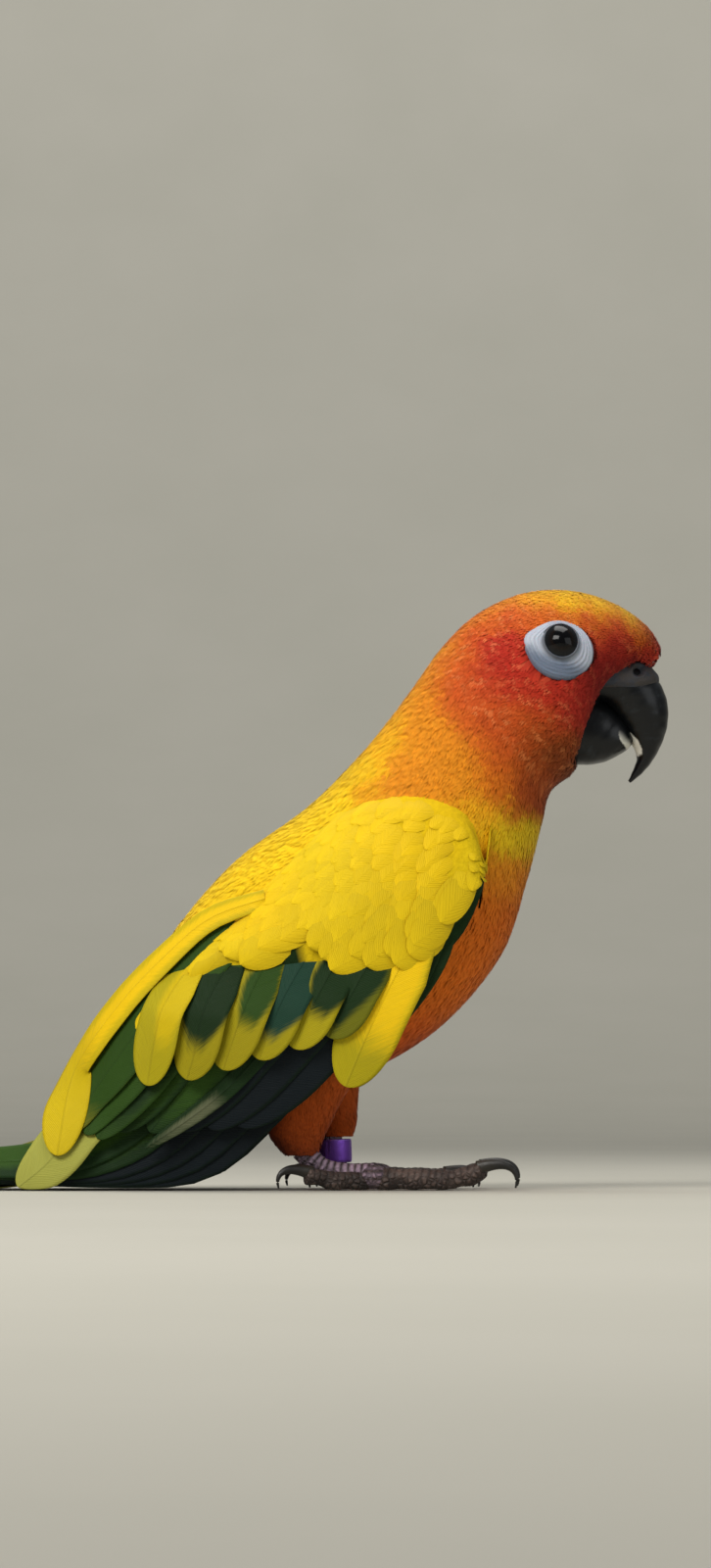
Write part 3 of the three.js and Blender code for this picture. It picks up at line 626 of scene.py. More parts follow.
@dataclass(frozen=True)
class VaneFinish:
    """A stiff feather: barbs slanting from its shaft, and a mark whose edge frays along them."""

    name: str = "vane"
    slant: float = 1.15
    barb: float = 0.46
    shaft: float = 1.0

    def make(self) -> Material:
        """Builds the material. The map holds the distance from the shaft and from the root.

        Returns:
            The material.
        """
        g = Graph(self.name)
        across, along = g.map("Vane")
        barb = along + abs(across) * self.slant
        fray = g.noise(g.vector(barb * 1.9, across * 0.22), 1.0, 3.0, 0.6)
        fine = g.noise(g.vector(barb * 6.5, across * 0.5), 1.0, 2.0)
        mark = (g.attribute("mark", "Fac") + (fray - 0.5) * 0.5).ramp(0.2, 0.8)
        colour = g.blend(mark, g.attribute("tint", "Color"), g.attribute("mark_tint", "Color"))
        cloud = g.noise(g.place(), 140.0)
        colour = g.shade(colour, 0.8 + 0.12 * fray + 0.1 * fine + 0.12 * cloud)
        ridges = (barb * (2 * pi / self.barb)).sine() * 0.5 + 0.5
        shaft = (1 - abs(across).ramp(0.08, 0.24)) * self.shaft
        colour = g.blend(shaft * 0.1, colour, Hue.SOOT)
        height = ridges * 0.35 + fray * 0.8 + fine * 0.45 + shaft * 0.7
        return g.finish(colour, g.bump(height, 0.00011, 0.8), Roughness=0.52 + 0.2 * fray,
                        Specular_IOR_Level=0.15)


@dataclass(frozen=True)
class BillFinish:
    """Charcoal horn with growth lines, grey scuffs and a pale patch at its notch."""

    pale_patch: Pair = (51.2, 83.2)
    pale_patch_size: Pair = (3.0, 1.4)
    pale_patch_turn: Pair = (0.66, -0.75)
    gloss: float = 0.3

    def make(self, shift: float) -> Material:
        """Builds the material. The map holds the station along the bill and the turn round it.

        Args:
            shift: how far the frame's x lies ahead of the side view's, in millimetres.

        Returns:
            The material.
        """
        g = Graph("bill")
        place = g.place()
        station, turn = g.map("Form")
        x, _, z = g.parts(place)
        scuff = g.noise(place, 420.0, 5.0, 0.7)
        patch = g.noise(place, 150.0, 3.0)
        growth = g.noise(g.vector(station * 3.0, turn * 1.2), 1.3, 3.0, 0.5)
        chalky = (patch * 0.7 + scuff * 0.5 + growth * 0.3).ramp(0.78, 1.05)
        colour = g.blend(chalky * 0.6, Hue.HORN, Hue.HORN_PALE)
        dx, dz = x * 1000 - (self.pale_patch[0] + shift), z * 1000 - self.pale_patch[1]
        cos, sin = self.pale_patch_turn
        along, down = (dx * cos + dz * sin) / self.pale_patch_size[0], (dz * cos - dx * sin) / self.pale_patch_size[1]
        far = along ** 2 + down ** 2
        # A pale patch at the notch: an ellipse on the half towards the cutting edge, frayed by the scuffs.
        worn = (far + (scuff - 0.5) * 1.1).ramp(1.15, 0.75) * g.attribute("edge", "Fac").ramp(0.2, 0.45)
        colour = g.blend(worn, colour, Hue.CHALK)
        height = growth * 0.5 + scuff * 0.35 + patch * 0.4
        return g.finish(colour, g.bump(height, 0.00014, 0.6), Roughness=self.gloss + 0.2 * chalky,
                        Specular_IOR_Level=0.32)


class CereFinish:
    """Soft bare skin at the root of the bill, finely wrinkled."""

    def make(self) -> Material:
        """Builds the material.

        Returns:
            The material.
        """
        g = Graph("cere")
        place = g.place()
        crease = g.cells(place, 900.0)
        cloud = g.noise(place, 380.0)
        colour = g.blend(cloud.ramp(0.35, 0.7), Hue.CERE, Hue.BARE_DARK)
        return g.finish(colour, g.bump(crease + cloud * 0.4, 0.0002, 0.7), Roughness=0.6,
                        Specular_IOR_Level=0.35)


class RingFinish:
    """The bare ring round the eye: white above; blue-grey in patches, at the rim, and low and towards its
    rear as painted shade; fine folds darkened in their troughs as painted shade.
    """

    def make(self) -> Material:
        """Builds the material. The map holds the share of the way out and the turn round the eye.

        Returns:
            The material.
        """
        g = Graph("bare_ring")
        out, turn = g.map("Form")
        place = g.place()
        cloud = g.noise(place, 330.0, 4.0)
        # Painted shade: the ring greyer where the low mask is high, low and towards its rear; the cloud adds
        # random grey patches.
        low = g.attribute("low", "Fac")
        grey = (low * 0.8 + cloud * 0.5).ramp(0.35, 1.0)
        colour = g.blend(grey, Hue.BARE_PALE, Hue.BARE_BLUE_AND_SHADE)
        rim = 1 - out.ramp(0.06, 0.3)
        colour = g.blend(rim * 0.8, colour, Hue.BARE_DARK)
        folds = (out * 34 + cloud * 4).sine() * 0.5 + 0.5
        creases = g.cells(place, 1500.0)
        # Painted shade: the colour darkened in the troughs of the folds.
        colour = g.shade(colour, 0.86 + 0.14 * folds)
        return g.finish(colour, g.bump(folds * 0.6 + creases, 0.00012, 0.6), Roughness=0.55,
                        Subsurface_Weight=0.08, Subsurface_Scale=0.001, Specular_IOR_Level=0.4)


@dataclass(frozen=True)
class EyeFinish:
    """A dark wet eye: black pupil in a brown iris, by the distance from the eye's axis."""

    pupil: float = 1.75
    iris: float = 3.0

    def make(self) -> Material:
        """Builds the material. The map holds the distance from the axis, in millimetres.

        Returns:
            The material.
        """
        g = Graph("eye")
        far, turn = g.map("Form")
        threads = g.noise(g.vector(turn * 9.0, far * 0.5), 3.0, 4.0)
        iris = g.shade(g.blend(far.ramp(self.pupil, self.iris), Hue.IRIS, Hue.SOOT), 0.6 + 0.8 * threads)
        colour = g.blend(far.ramp(self.pupil - 0.15, self.pupil + 0.12), Hue.PUPIL, iris)
        return g.finish(colour, None, Roughness=0.12, Coat_Weight=0.06, Coat_Roughness=0.04,
                        Specular_IOR_Level=0.16)


@dataclass(frozen=True)
class ScaleFinish:
    """Scaly skin of the feet: scutes across the top, small round scales elsewhere, darkened in the creases
    between them as painted shade.
    """

    pitch: float = SCUTE_PITCH

    def make(self) -> Material:
        """Builds the material. The map holds the length along and the turn round the toe.

        Returns:
            The material.
        """
        g = Graph("foot_scales")
        place = g.place()
        along, _ = g.map("Form")
        top = g.attribute("top", "Fac")
        wobble = g.noise(place, 500.0)
        bars = ((along * (2 * pi / self.pitch) + wobble * 2.2).sine() * 0.5 + 0.5) ** 0.5
        small = g.cells(place, 950.0).ramp(0.0, 0.32)
        both = bars * 0.7 + small * 0.3
        scales = g.node("ShaderNodeMix", {"data_type": "FLOAT"}, {0: top, 2: small, 3: both})
        cloud = g.noise(place, 210.0, 4.0)
        worn = g.blend(cloud.ramp(0.3, 0.75), Hue.SCALE_DARK, Hue.SCALE)
        worn = g.blend(g.attribute("mauve", "Fac") * bars * 0.8, worn, Hue.MAUVE)
        # Painted shade: the colour darkened in the creases between scutes and scales.
        colour = g.shade(worn, 0.45 + 0.7 * scales)
        return g.finish(colour, g.bump(scales + wobble * 0.3, 0.00032, 0.9), Roughness=0.62,
                        Specular_IOR_Level=0.38)


class ClawFinish:
    """Dark polished claw, paler and duller at its root."""

    def make(self) -> Material:
        """Builds the material. The map holds the share of the length and the turn.

        Returns:
            The material.
        """
        g = Graph("claw")
        along, turn = g.map("Form")
        grain = g.noise(g.vector(along * 3.0, turn * 6.0), 4.0, 4.0)
        root = 1 - along.ramp(0.02, 0.38)
        colour = g.blend(root * 0.5 + (grain - 0.5) * 0.35, Hue.CLAW, Hue.CLAW_PALE)
        return g.finish(colour, g.bump(grain, 0.00008, 0.6), Roughness=0.3 + 0.2 * grain,
                        Specular_IOR_Level=0.5)


class BandFinish:
    """Purple anodised metal with bright scratches and worn edges."""

    def make(self) -> Material:
        """Builds the material. The map holds the share of the height and the turn.

        Returns:
            The material.
        """
        g = Graph("leg_band")
        height, turn = g.map("Form")
        scratch = g.noise(g.vector(height * 14.0, turn * 1.5), 3.0, 5.0, 0.7)
        dent = g.noise(g.place(), 600.0, 3.0)
        edge = abs(height - 0.5).ramp(0.38, 0.5)
        bright = (scratch * 0.9 + edge * 0.5).ramp(0.62, 0.85)
        colour = g.blend(bright, Hue.BAND, Hue.BAND_PALE)
        return g.finish(colour, g.bump(scratch * 0.4 + dent, 0.00015, 0.6), Metallic=0.85,
                        Roughness=0.3 + 0.25 * dent)


class StageFinish:
    """The plain matt floor and wall."""

    def make(self) -> Material:
        """Builds the material.

        Returns:
            The material.
        """
        g = Graph("stage")
        cloud = g.noise(g.place(), 9.0, 4.0)
        colour = g.blend(cloud, Hue.WALL, Hue.PAPER)
        return g.finish(colour, None, Roughness=0.85, Specular_IOR_Level=0.2)


# The body's form


class Ground:
    """A surface with two parameters that feathers can stand on."""

    facing = 1.0
    step = 0.02

    def at(self, a: Array, b: Array) -> Array:
        """The points at two parameters."""
        raise NotImplementedError

    def frame(self, a: Array, b: Array) -> tuple[Array, Array, Array, Array]:
        """The surface's frame, by central differences.

        Args:
            a: first parameter.
            b: second parameter.

        Returns:
            Points, outward normals, and the surface's change with a and with b.
        """
        d = self.step
        with_a = (self.at(a + d, b) - self.at(a - d, b)) / (2 * d)
        with_b = (self.at(a, b + d) - self.at(a, b - d)) / (2 * d)
        return self.at(a, b), unit(np.cross(with_a, with_b)) * self.facing, with_a, with_b

    def scatter(self, a_range: Pair, b_range: Pair,
                spacing: float) -> tuple[Array, Array]:
        """Even places over the surface: an R2 sequence passed through the running sums of its area.

        Args:
            a_range: first and last a.
            b_range: first and last b.
            spacing: the usual distance between neighbours.

        Returns:
            The parameters a and b of each place.
        """
        cells = 120
        a, b = np.linspace(*a_range, cells), np.linspace(*b_range, cells)
        _, _, with_a, with_b = self.frame(*np.meshgrid(a, b, indexing="ij"))
        area = np.linalg.norm(np.cross(with_a, with_b), axis=-1)
        total = area.mean() * (a[-1] - a[0]) * (b[-1] - b[0])
        k = np.arange(int(total / spacing ** 2)) + 0.5
        golden = 1.32471795724
        rows = np.cumsum(area.sum(1)) / area.sum()
        place = np.interp((k / golden) % 1, np.concatenate([[0], rows]), np.arange(cells + 1) - 0.5)
        row = np.clip(np.rint(place).astype(int), 0, cells - 1)
        sums = np.cumsum(area, 1) / area.sum(1, keepdims=True)
        want = (k / golden ** 2) % 1
        column = (sums[row] < want[:, None]).sum(1)
        before = np.where(column > 0, sums[row, np.maximum(column - 1, 0)], 0)
        part = (want - before) / np.maximum(sums[row, np.minimum(column, cells - 1)] - before, 1e-9)
        half = 0.5 / cells
        down, across = np.clip(place / cells + half, 0, 1), np.clip((column + part) / cells, 0, 1)
        return mix(*a_range, down), mix(*b_range, across)


BODY = {
    "tail tip": (-172, 3, -172, 0, 3, 1),
    "tail far": (-140, 5, -140, 0, 7, 1),
    "tail middle": (-105, 7.5, -105, 0, 10.4, 1),
    "tail near": (-80, 9.8, -79, 0, 10.8, 1),
    "tail base": (-62, 12.2, -60, 0, 11.6, 0.95),
    "tail root": (-51.4, 17.4, -43, 1.5, 12.4, 0.75),
    "vent": (-46.4, 27.2, -30, 8, 14.4, 0.6),
    "rump": (-40, 38.2, -16, 13.8, 17, 0.5),
    "loin": (-32.4, 49.8, -2, 19.8, 18.5, 0.48),
    "back": (-22, 61.4, 14.6, 29.4, 19.2, 0.48),
    "shoulders": (-9.3, 70.8, 26.8, 43.2, 19.6, 0.47),
    "breast": (-0.8, 79, 31.8, 57.2, 18.5, 0.48),
    "neck base": (5.2, 86, 34.4, 67, 16, 0.5),
    "neck": (10.6, 93.2, 36, 73.5, 14.6, 0.5),
    "nape": (16.4, 101.2, 38, 75.8, 14.3, 0.5),
    "occiput": (23, 107.4, 40.2, 77.3, 14.7, 0.5),
    "crown": (31.6, 111.2, 41.7, 79.8, 14.9, 0.48),
    "brow": (40.5, 111.6, 43.4, 86, 13.8, 0.5),
    "forehead": (48.5, 109.2, 46, 92, 11.3, 0.5),
    "lores": (54.6, 104.9, 50.6, 95.8, 8.5, 0.5),
    "front": (57.7, 99.8, 56.4, 97.4, 4, 0.5),
}
TAIL_TIP_X = -172.0

# How far each leg stands from the middle, and how far the bare ring leans
TRACK = 9.5
RING_LEAN = -0.35


def station(name: str) -> int:
    """The number of a section of the body."""
    return list(BODY).index(name)


class BodyForm(Ground):
    """The bird without its wings, legs and bill: egg-shaped sections between a back and a belly line.

    At section t and turn p, the reach from back to belly is w (1 - cos p) above the widest place w
    and w - (1 - w) cos p below it, and the half width is h sin p. b is p / pi, left of the back
    above 0 and right of it below.
    """

    def __init__(self) -> None:
        """Takes the table of sections."""
        self.sections = np.array(list(BODY.values()), float)
        self.front = station("front")

    def at(self, a: Array, b: Array) -> Array:
        """The points at sections a and turns b.

        Args:
            a: sections.
            b: turns from the back, in half turns.

        Returns:
            The points.
        """
        s = between(self.sections, np.clip(a, 0, self.front))
        cos, sin = np.cos(b * pi), np.sin(b * pi)
        widest = s[..., 5]
        reach = np.where(cos >= 0, widest * (1 - cos), widest - (1 - widest) * cos)
        side_view = s[..., :2] + (s[..., 2:4] - s[..., :2]) * reach[..., None]
        return in_space(side_view, s[..., 4] * sin)

    def seen(self, x: Array, z: Array, low: float = 0.0, high: float = 20.0) -> tuple[Array, Array, Array]:
        """The section that is seen at a place in side view, by halving the range of sections.

        Args:
            x: places along the bird.
            z: their heights.
            low: rearmost section to look at.
            high: foremost section to look at.

        Returns:
            Sections, shares of the way from back to belly, and the sections' rows.
        """
        x, z = np.broadcast_arrays(np.asarray(x, float), np.asarray(z, float))
        first, last = np.full(x.shape, low), np.full(x.shape, high)
        for _ in range(26):
            middle = (first + last) / 2
            s = between(self.sections, middle)
            depth = s[..., 2:4] - s[..., :2]
            ahead = depth[..., 0] * (z - s[..., 1]) - depth[..., 1] * (x - s[..., 0]) > 0
            first, last = np.where(ahead, middle, first), np.where(ahead, last, middle)
        s = between(self.sections, first)
        depth = s[..., 2:4] - s[..., :2]
        run = depth[..., 0] * (x - s[..., 0]) + depth[..., 1] * (z - s[..., 1])
        return first, np.maximum(run / (depth ** 2).sum(-1), 0), s

    def on_side(self, x: Array, z: Array, side: int, low: float = 0.0) -> tuple[Array, Array]:
        """The sections and turns of the body's skin that are seen at places in side view.

        Args:
            x: places along the bird.
            z: their heights.
            side: right or left.
            low: rearmost section to look at.

        Returns:
            Sections and turns.
        """
        t, share, s = self.seen(x, z, low)
        w = s[..., 5]
        upper = np.arccos(np.clip(1 - share / w, -1, 1))
        lower = np.arccos(np.clip((w - share) / (1 - w + 1e-9), -1, 1))
        return t, side * np.where(share <= w, upper, lower) / pi


@dataclass
class Cloak:
    """The face that the wings lie on: it follows the back, then hangs nearly straight down the side."""

    body: BodyForm
    out: float = 0.7
    curl: float = 0.1

    def at(self, t: Array, share: Array, side: int, out: Array) -> Array:
        """Points over the body.

        Past the widest share w the turn is pi/2 + share/w - 1, and the half width is
        h (1 - curl over^2) where over is the turn past a right angle. Elsewhere it is h sin turn.

        Args:
            t: sections.
            share: shares of the way from back to belly, in side view.
            side: right or left.
            out: heights over the body.

        Returns:
            The points.
        """
        s = between(self.body.sections, t)
        w = s[..., 5]
        turn = np.where(share <= w, np.arccos(np.clip(1 - share / w, -1, 1)), pi / 2 + (share / w - 1))
        over = np.maximum(turn - pi / 2, 0)
        depth = s[..., 2:4] - s[..., :2]
        down = unit(depth)
        wide = s[..., 4] * np.where(over > 0, 1 - self.curl * over ** 2, np.sin(turn))
        lean = np.where(over > 0, -over * 0.25, np.cos(turn)) * out
        side_view = s[..., :2] + depth * share[..., None] - down * lean[..., None]
        y = side * (wide + out * np.sin(np.minimum(turn, pi / 2)))
        return in_space(side_view, y)

    def frame(self, x: Array, z: Array, side: int, out: Array) -> tuple[Array, Array]:
        """Points over the places seen in side view, and their outward normals.

        Args:
            x: places along the bird.
            z: their heights.
            side: right or left.
            out: heights over the body.

        Returns:
            Points and normals.
        """
        t, share, _ = self.body.seen(x, z, 0, station("neck"))
        step = 0.04
        round_ = self.at(t, share + step, side, out) - self.at(t, np.maximum(share - step, 0), side, out)
        ahead = self.at(t + step, share, side, out) - self.at(t - step, share, side, out)
        normal = towards(unit(np.cross(ahead, round_)), (0, side, 0.5))
        return self.at(t, share, side, out), normal


@dataclass
class ArmForm(Ground):
    """The wing's arm, a low mound over the cloak between two edges. a runs rearwards, b down."""

    cloak: Cloak
    side: int
    top: tuple = ((23.6, 60), (19.5, 68.4), (9.5, 71.2), (-1.5, 68.4), (-10, 61), (-18.5, 52.4),
                  (-26, 44.5), (-32.6, 37.6), (-38.6, 30.4))
    low: tuple = ((23, 55), (19, 47), (12, 40.5), (3.5, 38), (-7, 38.2), (-17, 38), (-24.5, 38.4),
                  (-30.6, 34.4), (-36, 28))
    thick: float = 4.9
    rim: float = 0.5

    def __post_init__(self) -> None:
        """Turns the frame's normals away from the body."""
        self.facing = -float(self.side)

    def height(self, a: Array, b: Array) -> Array:
        """The height: rim + (thick - rim) sin^0.5 along by sin^0.9 across, sinking past the front and top.

        Args:
            a: shares from front to rear.
            b: shares from top to bottom.

        Returns:
            The heights.
        """
        along = np.sin(pi * np.clip(mix(0.06, 0.88, a), 0, 1)) ** 0.5
        across = np.sin(pi * np.clip(mix(0.02, 0.84, b), 0, 1)) ** 0.9
        edge = smooth(-0.08, 0.05, a) * smooth(-0.1, 0.05, b)
        return mix(-1.2, self.rim + (self.thick - self.rim) * along * across, edge)

    def over(self, a: Array, b: Array, out: Array) -> Array:
        """Points over the body at shares along and across the arm, kept within a little of its edges.

        Args:
            a: shares from front to rear.
            b: shares from top to bottom.
            out: heights over the body.

        Returns:
            The points.
        """
        a, b = np.clip(a, -0.1, 1.04), np.clip(b, -0.12, 1.3)
        stops = len(self.top) - 1
        top = between(np.array(self.top, float), a * stops)
        low = between(np.array(self.low, float), a * stops)
        p = mix(top, low, b[..., None])
        t, share, _ = self.cloak.body.seen(p[..., 0], p[..., 1], 0, station("neck"))
        return self.cloak.at(t, share, self.side, out)

    def at(self, a: Array, b: Array) -> Array:
        """The arm's face at shares along and across it."""
        return self.over(a, b, self.cloak.out + self.height(a, b))


@dataclass
class ThighForm(Ground):
    """A feathered thigh: ellipses down the leg, each with its x, its length and its width. a runs down."""

    side: int
    rows: tuple

    def at(self, a: Array, b: Array) -> Array:
        """The points at stations a and turns b, in half turns from the front.

        Args:
            a: stations down the leg.
            b: turns.

        Returns:
            The points.
        """
        s = between(np.array(self.rows, float), np.clip(a, 0, len(self.rows) - 1))
        z, x, long, wide = (s[..., k] for k in range(4))
        angle = b * pi
        return np.stack([x + long * np.cos(angle), self.side * TRACK + wide * np.sin(angle), z], -1)


THIGHS = {
    "right": ThighForm(RIGHT, ((30, -8, 8, 5.5), (22, -8.6, 8.6, 6.2), (15.5, -9.9, 6.8, 5.4),
                               (10, -10.8, 5, 4), (6.4, -10, 2.9, 2.6))),
    "left": ThighForm(LEFT, ((30, -5.5, 7, 5.5), (22, -5.8, 6.6, 6), (16, -4.6, 4.9, 4.6),
                             (12.4, -3.7, 3.8, 3.6), (9.8, -3.6, 3, 2.9))),
}


# Markings


@dataclass(frozen=True)
class Dab:
    """A named patch of colour: its middle in side view, its reach along and up, and its hue."""

    name: str
    x: float
    z: float
    wide: float
    tall: float
    hue: Hue


COAT_DABS = (
    Dab("front of crown", 50.4, 108.2, 7.2, 4.2, Hue.YELLOW),
    Dab("top of crown", 42, 111, 8, 4.4, Hue.YELLOW),
    Dab("rear of crown", 33.5, 111.8, 5, 3, Hue.APRICOT),
    Dab("occiput", 25, 108.6, 5, 3.4, Hue.APRICOT),
    Dab("rear of head", 21.5, 104.8, 3.4, 3.4, Hue.ORANGE),
    Dab("edge of forehead", 55.2, 103, 2.4, 2.4, Hue.ORANGE),
    Dab("lip over the cere", 57.2, 99.6, 2.6, 2.6, Hue.SCARLET),
    Dab("brow", 45.2, 103, 5.4, 3.4, Hue.SCARLET),
    Dab("over the eye", 34.6, 106.8, 7, 2.6, Hue.EMBER),
    Dab("behind the eye", 27.6, 101.6, 4, 4.4, Hue.SCARLET),
    Dab("rear of the eye", 29, 97, 3.4, 3, Hue.SCARLET),
    Dab("under the eye", 36, 93.8, 6, 2.8, Hue.SCARLET),
    Dab("lores", 47.4, 96.8, 4, 4, Hue.CRIMSON),
    Dab("upper cheek", 21.5, 98.6, 4, 4.6, Hue.EMBER),
    Dab("ear", 20.4, 93.4, 4.4, 4.4, Hue.EMBER),
    Dab("cheek", 29, 90, 6.4, 3.8, Hue.EMBER),
    Dab("front of cheek", 40.6, 90.4, 4, 3.4, Hue.SCARLET),
    # Jaw, throat and chin: their dark dabs are partly painted shade under the bill.
    Dab("jaw", 36.4, 84.6, 5, 4, Hue.RUST_AND_SHADE),
    Dab("rear of jaw", 27.4, 84.6, 4, 4, Hue.EMBER),
    Dab("throat", 33, 77.6, 4.4, 4.2, Hue.RUST_AND_SHADE),
    Dab("chin", 40, 81.4, 3.6, 4, Hue.UMBER_AND_SHADE),
    Dab("upper nape", 16.2, 101.4, 3.6, 5, Hue.AMBER),
    Dab("nape", 9.4, 93.4, 5, 6, Hue.AMBER),
    Dab("behind the ear", 14.6, 93, 3.4, 5, Hue.APRICOT),
    Dab("lower nape", 5, 86.6, 5, 4, Hue.GOLD),
    Dab("side of neck", 16, 86.4, 4.4, 5.4, Hue.APRICOT),
    Dab("lower neck", 20.4, 80, 6, 4.6, Hue.APRICOT),
    Dab("front of neck", 27.2, 79.4, 3, 4.2, Hue.ORANGE),
    Dab("yellow over the shoulder", -0.5, 78.6, 4.6, 4, Hue.YELLOW),
    Dab("orange over the wing", 11, 76, 6, 3, Hue.APRICOT),
    Dab("collar", 28.6, 68.6, 6, 3.4, Hue.LEMON),
    Dab("rear of collar", 23.6, 71.4, 4, 3.4, Hue.AMBER),
    Dab("upper breast", 27.4, 61.4, 7, 4, Hue.APRICOT),
    Dab("breast", 26.6, 52, 9, 7, Hue.ORANGE),
    Dab("lower breast", 22, 41, 8, 8, Hue.ORANGE),
    Dab("belly", 11, 28.4, 9, 8, Hue.EMBER),
    # Rear belly and under the tail: their dark dabs are partly painted shade low on the body.
    Dab("rear belly", -6, 19, 9, 8, Hue.RUST_AND_SHADE),
    Dab("flank", 0, 34, 16, 10, Hue.ORANGE),
    Dab("under the tail", -24, 9, 9, 7, Hue.VENT_AND_SHADE),
    Dab("mantle", -10, 70, 10, 8, Hue.YELLOW),
    Dab("back", -24, 56, 10, 9, Hue.YELLOW),
    Dab("rump", -38, 36, 10, 10, Hue.YELLOW),
    Dab("over the tail", -50, 18, 8, 8, Hue.YELLOW),
)


class Markings:
    """The coat's colours, shared by the skin and every small feather.

    Each place takes the mean of the dabs, weighed by exp(-(dx / wide)^2 - (dz / tall)^2), after the
    place is shifted a little by smooth noise so that no edge runs straight.
    """

    def __init__(self, dabs: tuple[Dab, ...]) -> None:
        """Gathers the dabs into arrays."""
        self.places = np.array([(d.x, d.z, d.wide, d.tall) for d in dabs], float)
        self.colours = np.array([d.hue.srgb for d in dabs])

    def tint(self, points: Array) -> Array:
        """The screen colour at places in space.

        Args:
            points: places.

        Returns:
            A colour for each.
        """
        x, z = (points[..., k] + 1.3 * ripple(points, 7, seed) + 0.5 * ripple(points, 2.4, seed + 1)
                for k, seed in ((0, 11), (2, 13)))
        dx, dz = ((value[..., None] - self.places[:, k]) / self.places[:, k + 2]
                  for k, value in enumerate((x, z)))
        weight = np.exp(-dx ** 2 - dz ** 2) + 1e-7 / (1 + dx ** 2 + dz ** 2)
        return (weight @ self.colours) / weight.sum(-1, keepdims=True)


# The bench: meshes into the frame


class Bench:
    """Puts finished shapes into the scene, in metres and in the frame's place."""

    def __init__(self) -> None:
        """Finds how far the frame lies ahead of the side view."""
        self.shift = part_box("tail")[0].x * 1000 - TAIL_TIP_X
        self.count = 0

    def place(self, name: str, shape: Shape, material: Material, slot: str,
              replaces: tuple[str, ...] = ()) -> None:
        """Makes an object of a shape and rides it on the body.

        Args:
            name: the piece's name.
            shape: its points and faces, in millimetres.
            material: its finish.
            slot: not used.
            replaces: the solids that it stands for.
        """
        piece = linked(name, self.mesh(name, shape))
        piece.data.materials.append(material)
        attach(piece, "root")
        if replaces:
            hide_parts(*replaces)
        faces = len(shape.triangles())
        self.count += faces
        log.info("%s: %d triangles", name, faces)

    def mesh(self, name: str, shape: Shape) -> bpy.types.Mesh:
        """A smooth mesh of a shape, in metres, with its maps and what its finish reads.

        Args:
            name: the mesh's name.
            shape: its points and faces, in millimetres.

        Returns:
            The mesh.
        """
        mesh = bpy.data.meshes.new(name)
        points = (shape.points + [self.shift, 0, 0]) / 1000
        corners = np.concatenate([shape.quads.ravel(), shape.tris.ravel()]).astype(np.int32)
        sizes = np.concatenate([np.full(len(shape.quads), 4), np.full(len(shape.tris), 3)])
        mesh.vertices.add(len(points))
        mesh.vertices.foreach_set("co", points.astype(np.float32).ravel())
        mesh.loops.add(len(corners))
        mesh.loops.foreach_set("vertex_index", corners)
        mesh.polygons.add(len(sizes))
        mesh.polygons.foreach_set("loop_start", (np.cumsum(sizes) - sizes).astype(np.int32))
        mesh.polygons.foreach_set("use_smooth", np.ones(len(sizes), bool))
        for key, value in shape.maps.items():
            layer = mesh.uv_layers.new(name=key)
            layer.uv.foreach_set("vector", value[corners].astype(np.float32).ravel())
        for key, value in shape.data.items():
            self.carry(mesh, key, value)
        mesh.update(calc_edges=True)
        return mesh

    @staticmethod
    def carry(mesh: bpy.types.Mesh, name: str, values: Array) -> None:
        """Stores a number or a screen colour for each point of a mesh.

        Args:
            mesh: the mesh.
            name: what the finish calls it.
            values: a number or a colour for each point.
        """
        if values.ndim == 2 and values.shape[1] == 3:
            layer = mesh.attributes.new(name, "FLOAT_COLOR", "POINT")
            colours = np.concatenate([linear(values), np.ones((len(values), 1))], 1)
            layer.data.foreach_set("color", colours.astype(np.float32).ravel())
        else:
            layer = mesh.attributes.new(name, "FLOAT", "POINT")
            layer.data.foreach_set("value", values.astype(np.float32).ravel())


# Small feathers


@dataclass(frozen=True)
class Tuft:
    """How the small feathers of one region are cut and laid."""

    spacing: float
    length: Pair
    width: float
    strips: int
    lift: float = 0.15
    sink: float = 0.7
    fan: float = 0.55
    wander: float = 0.16
    pale: float = 0.0


ROWS = np.array([0.0, 0.4, 0.78, 1.0])
ROW_WIDTH = np.array([0.7, 1.0, 0.72, 0.0])


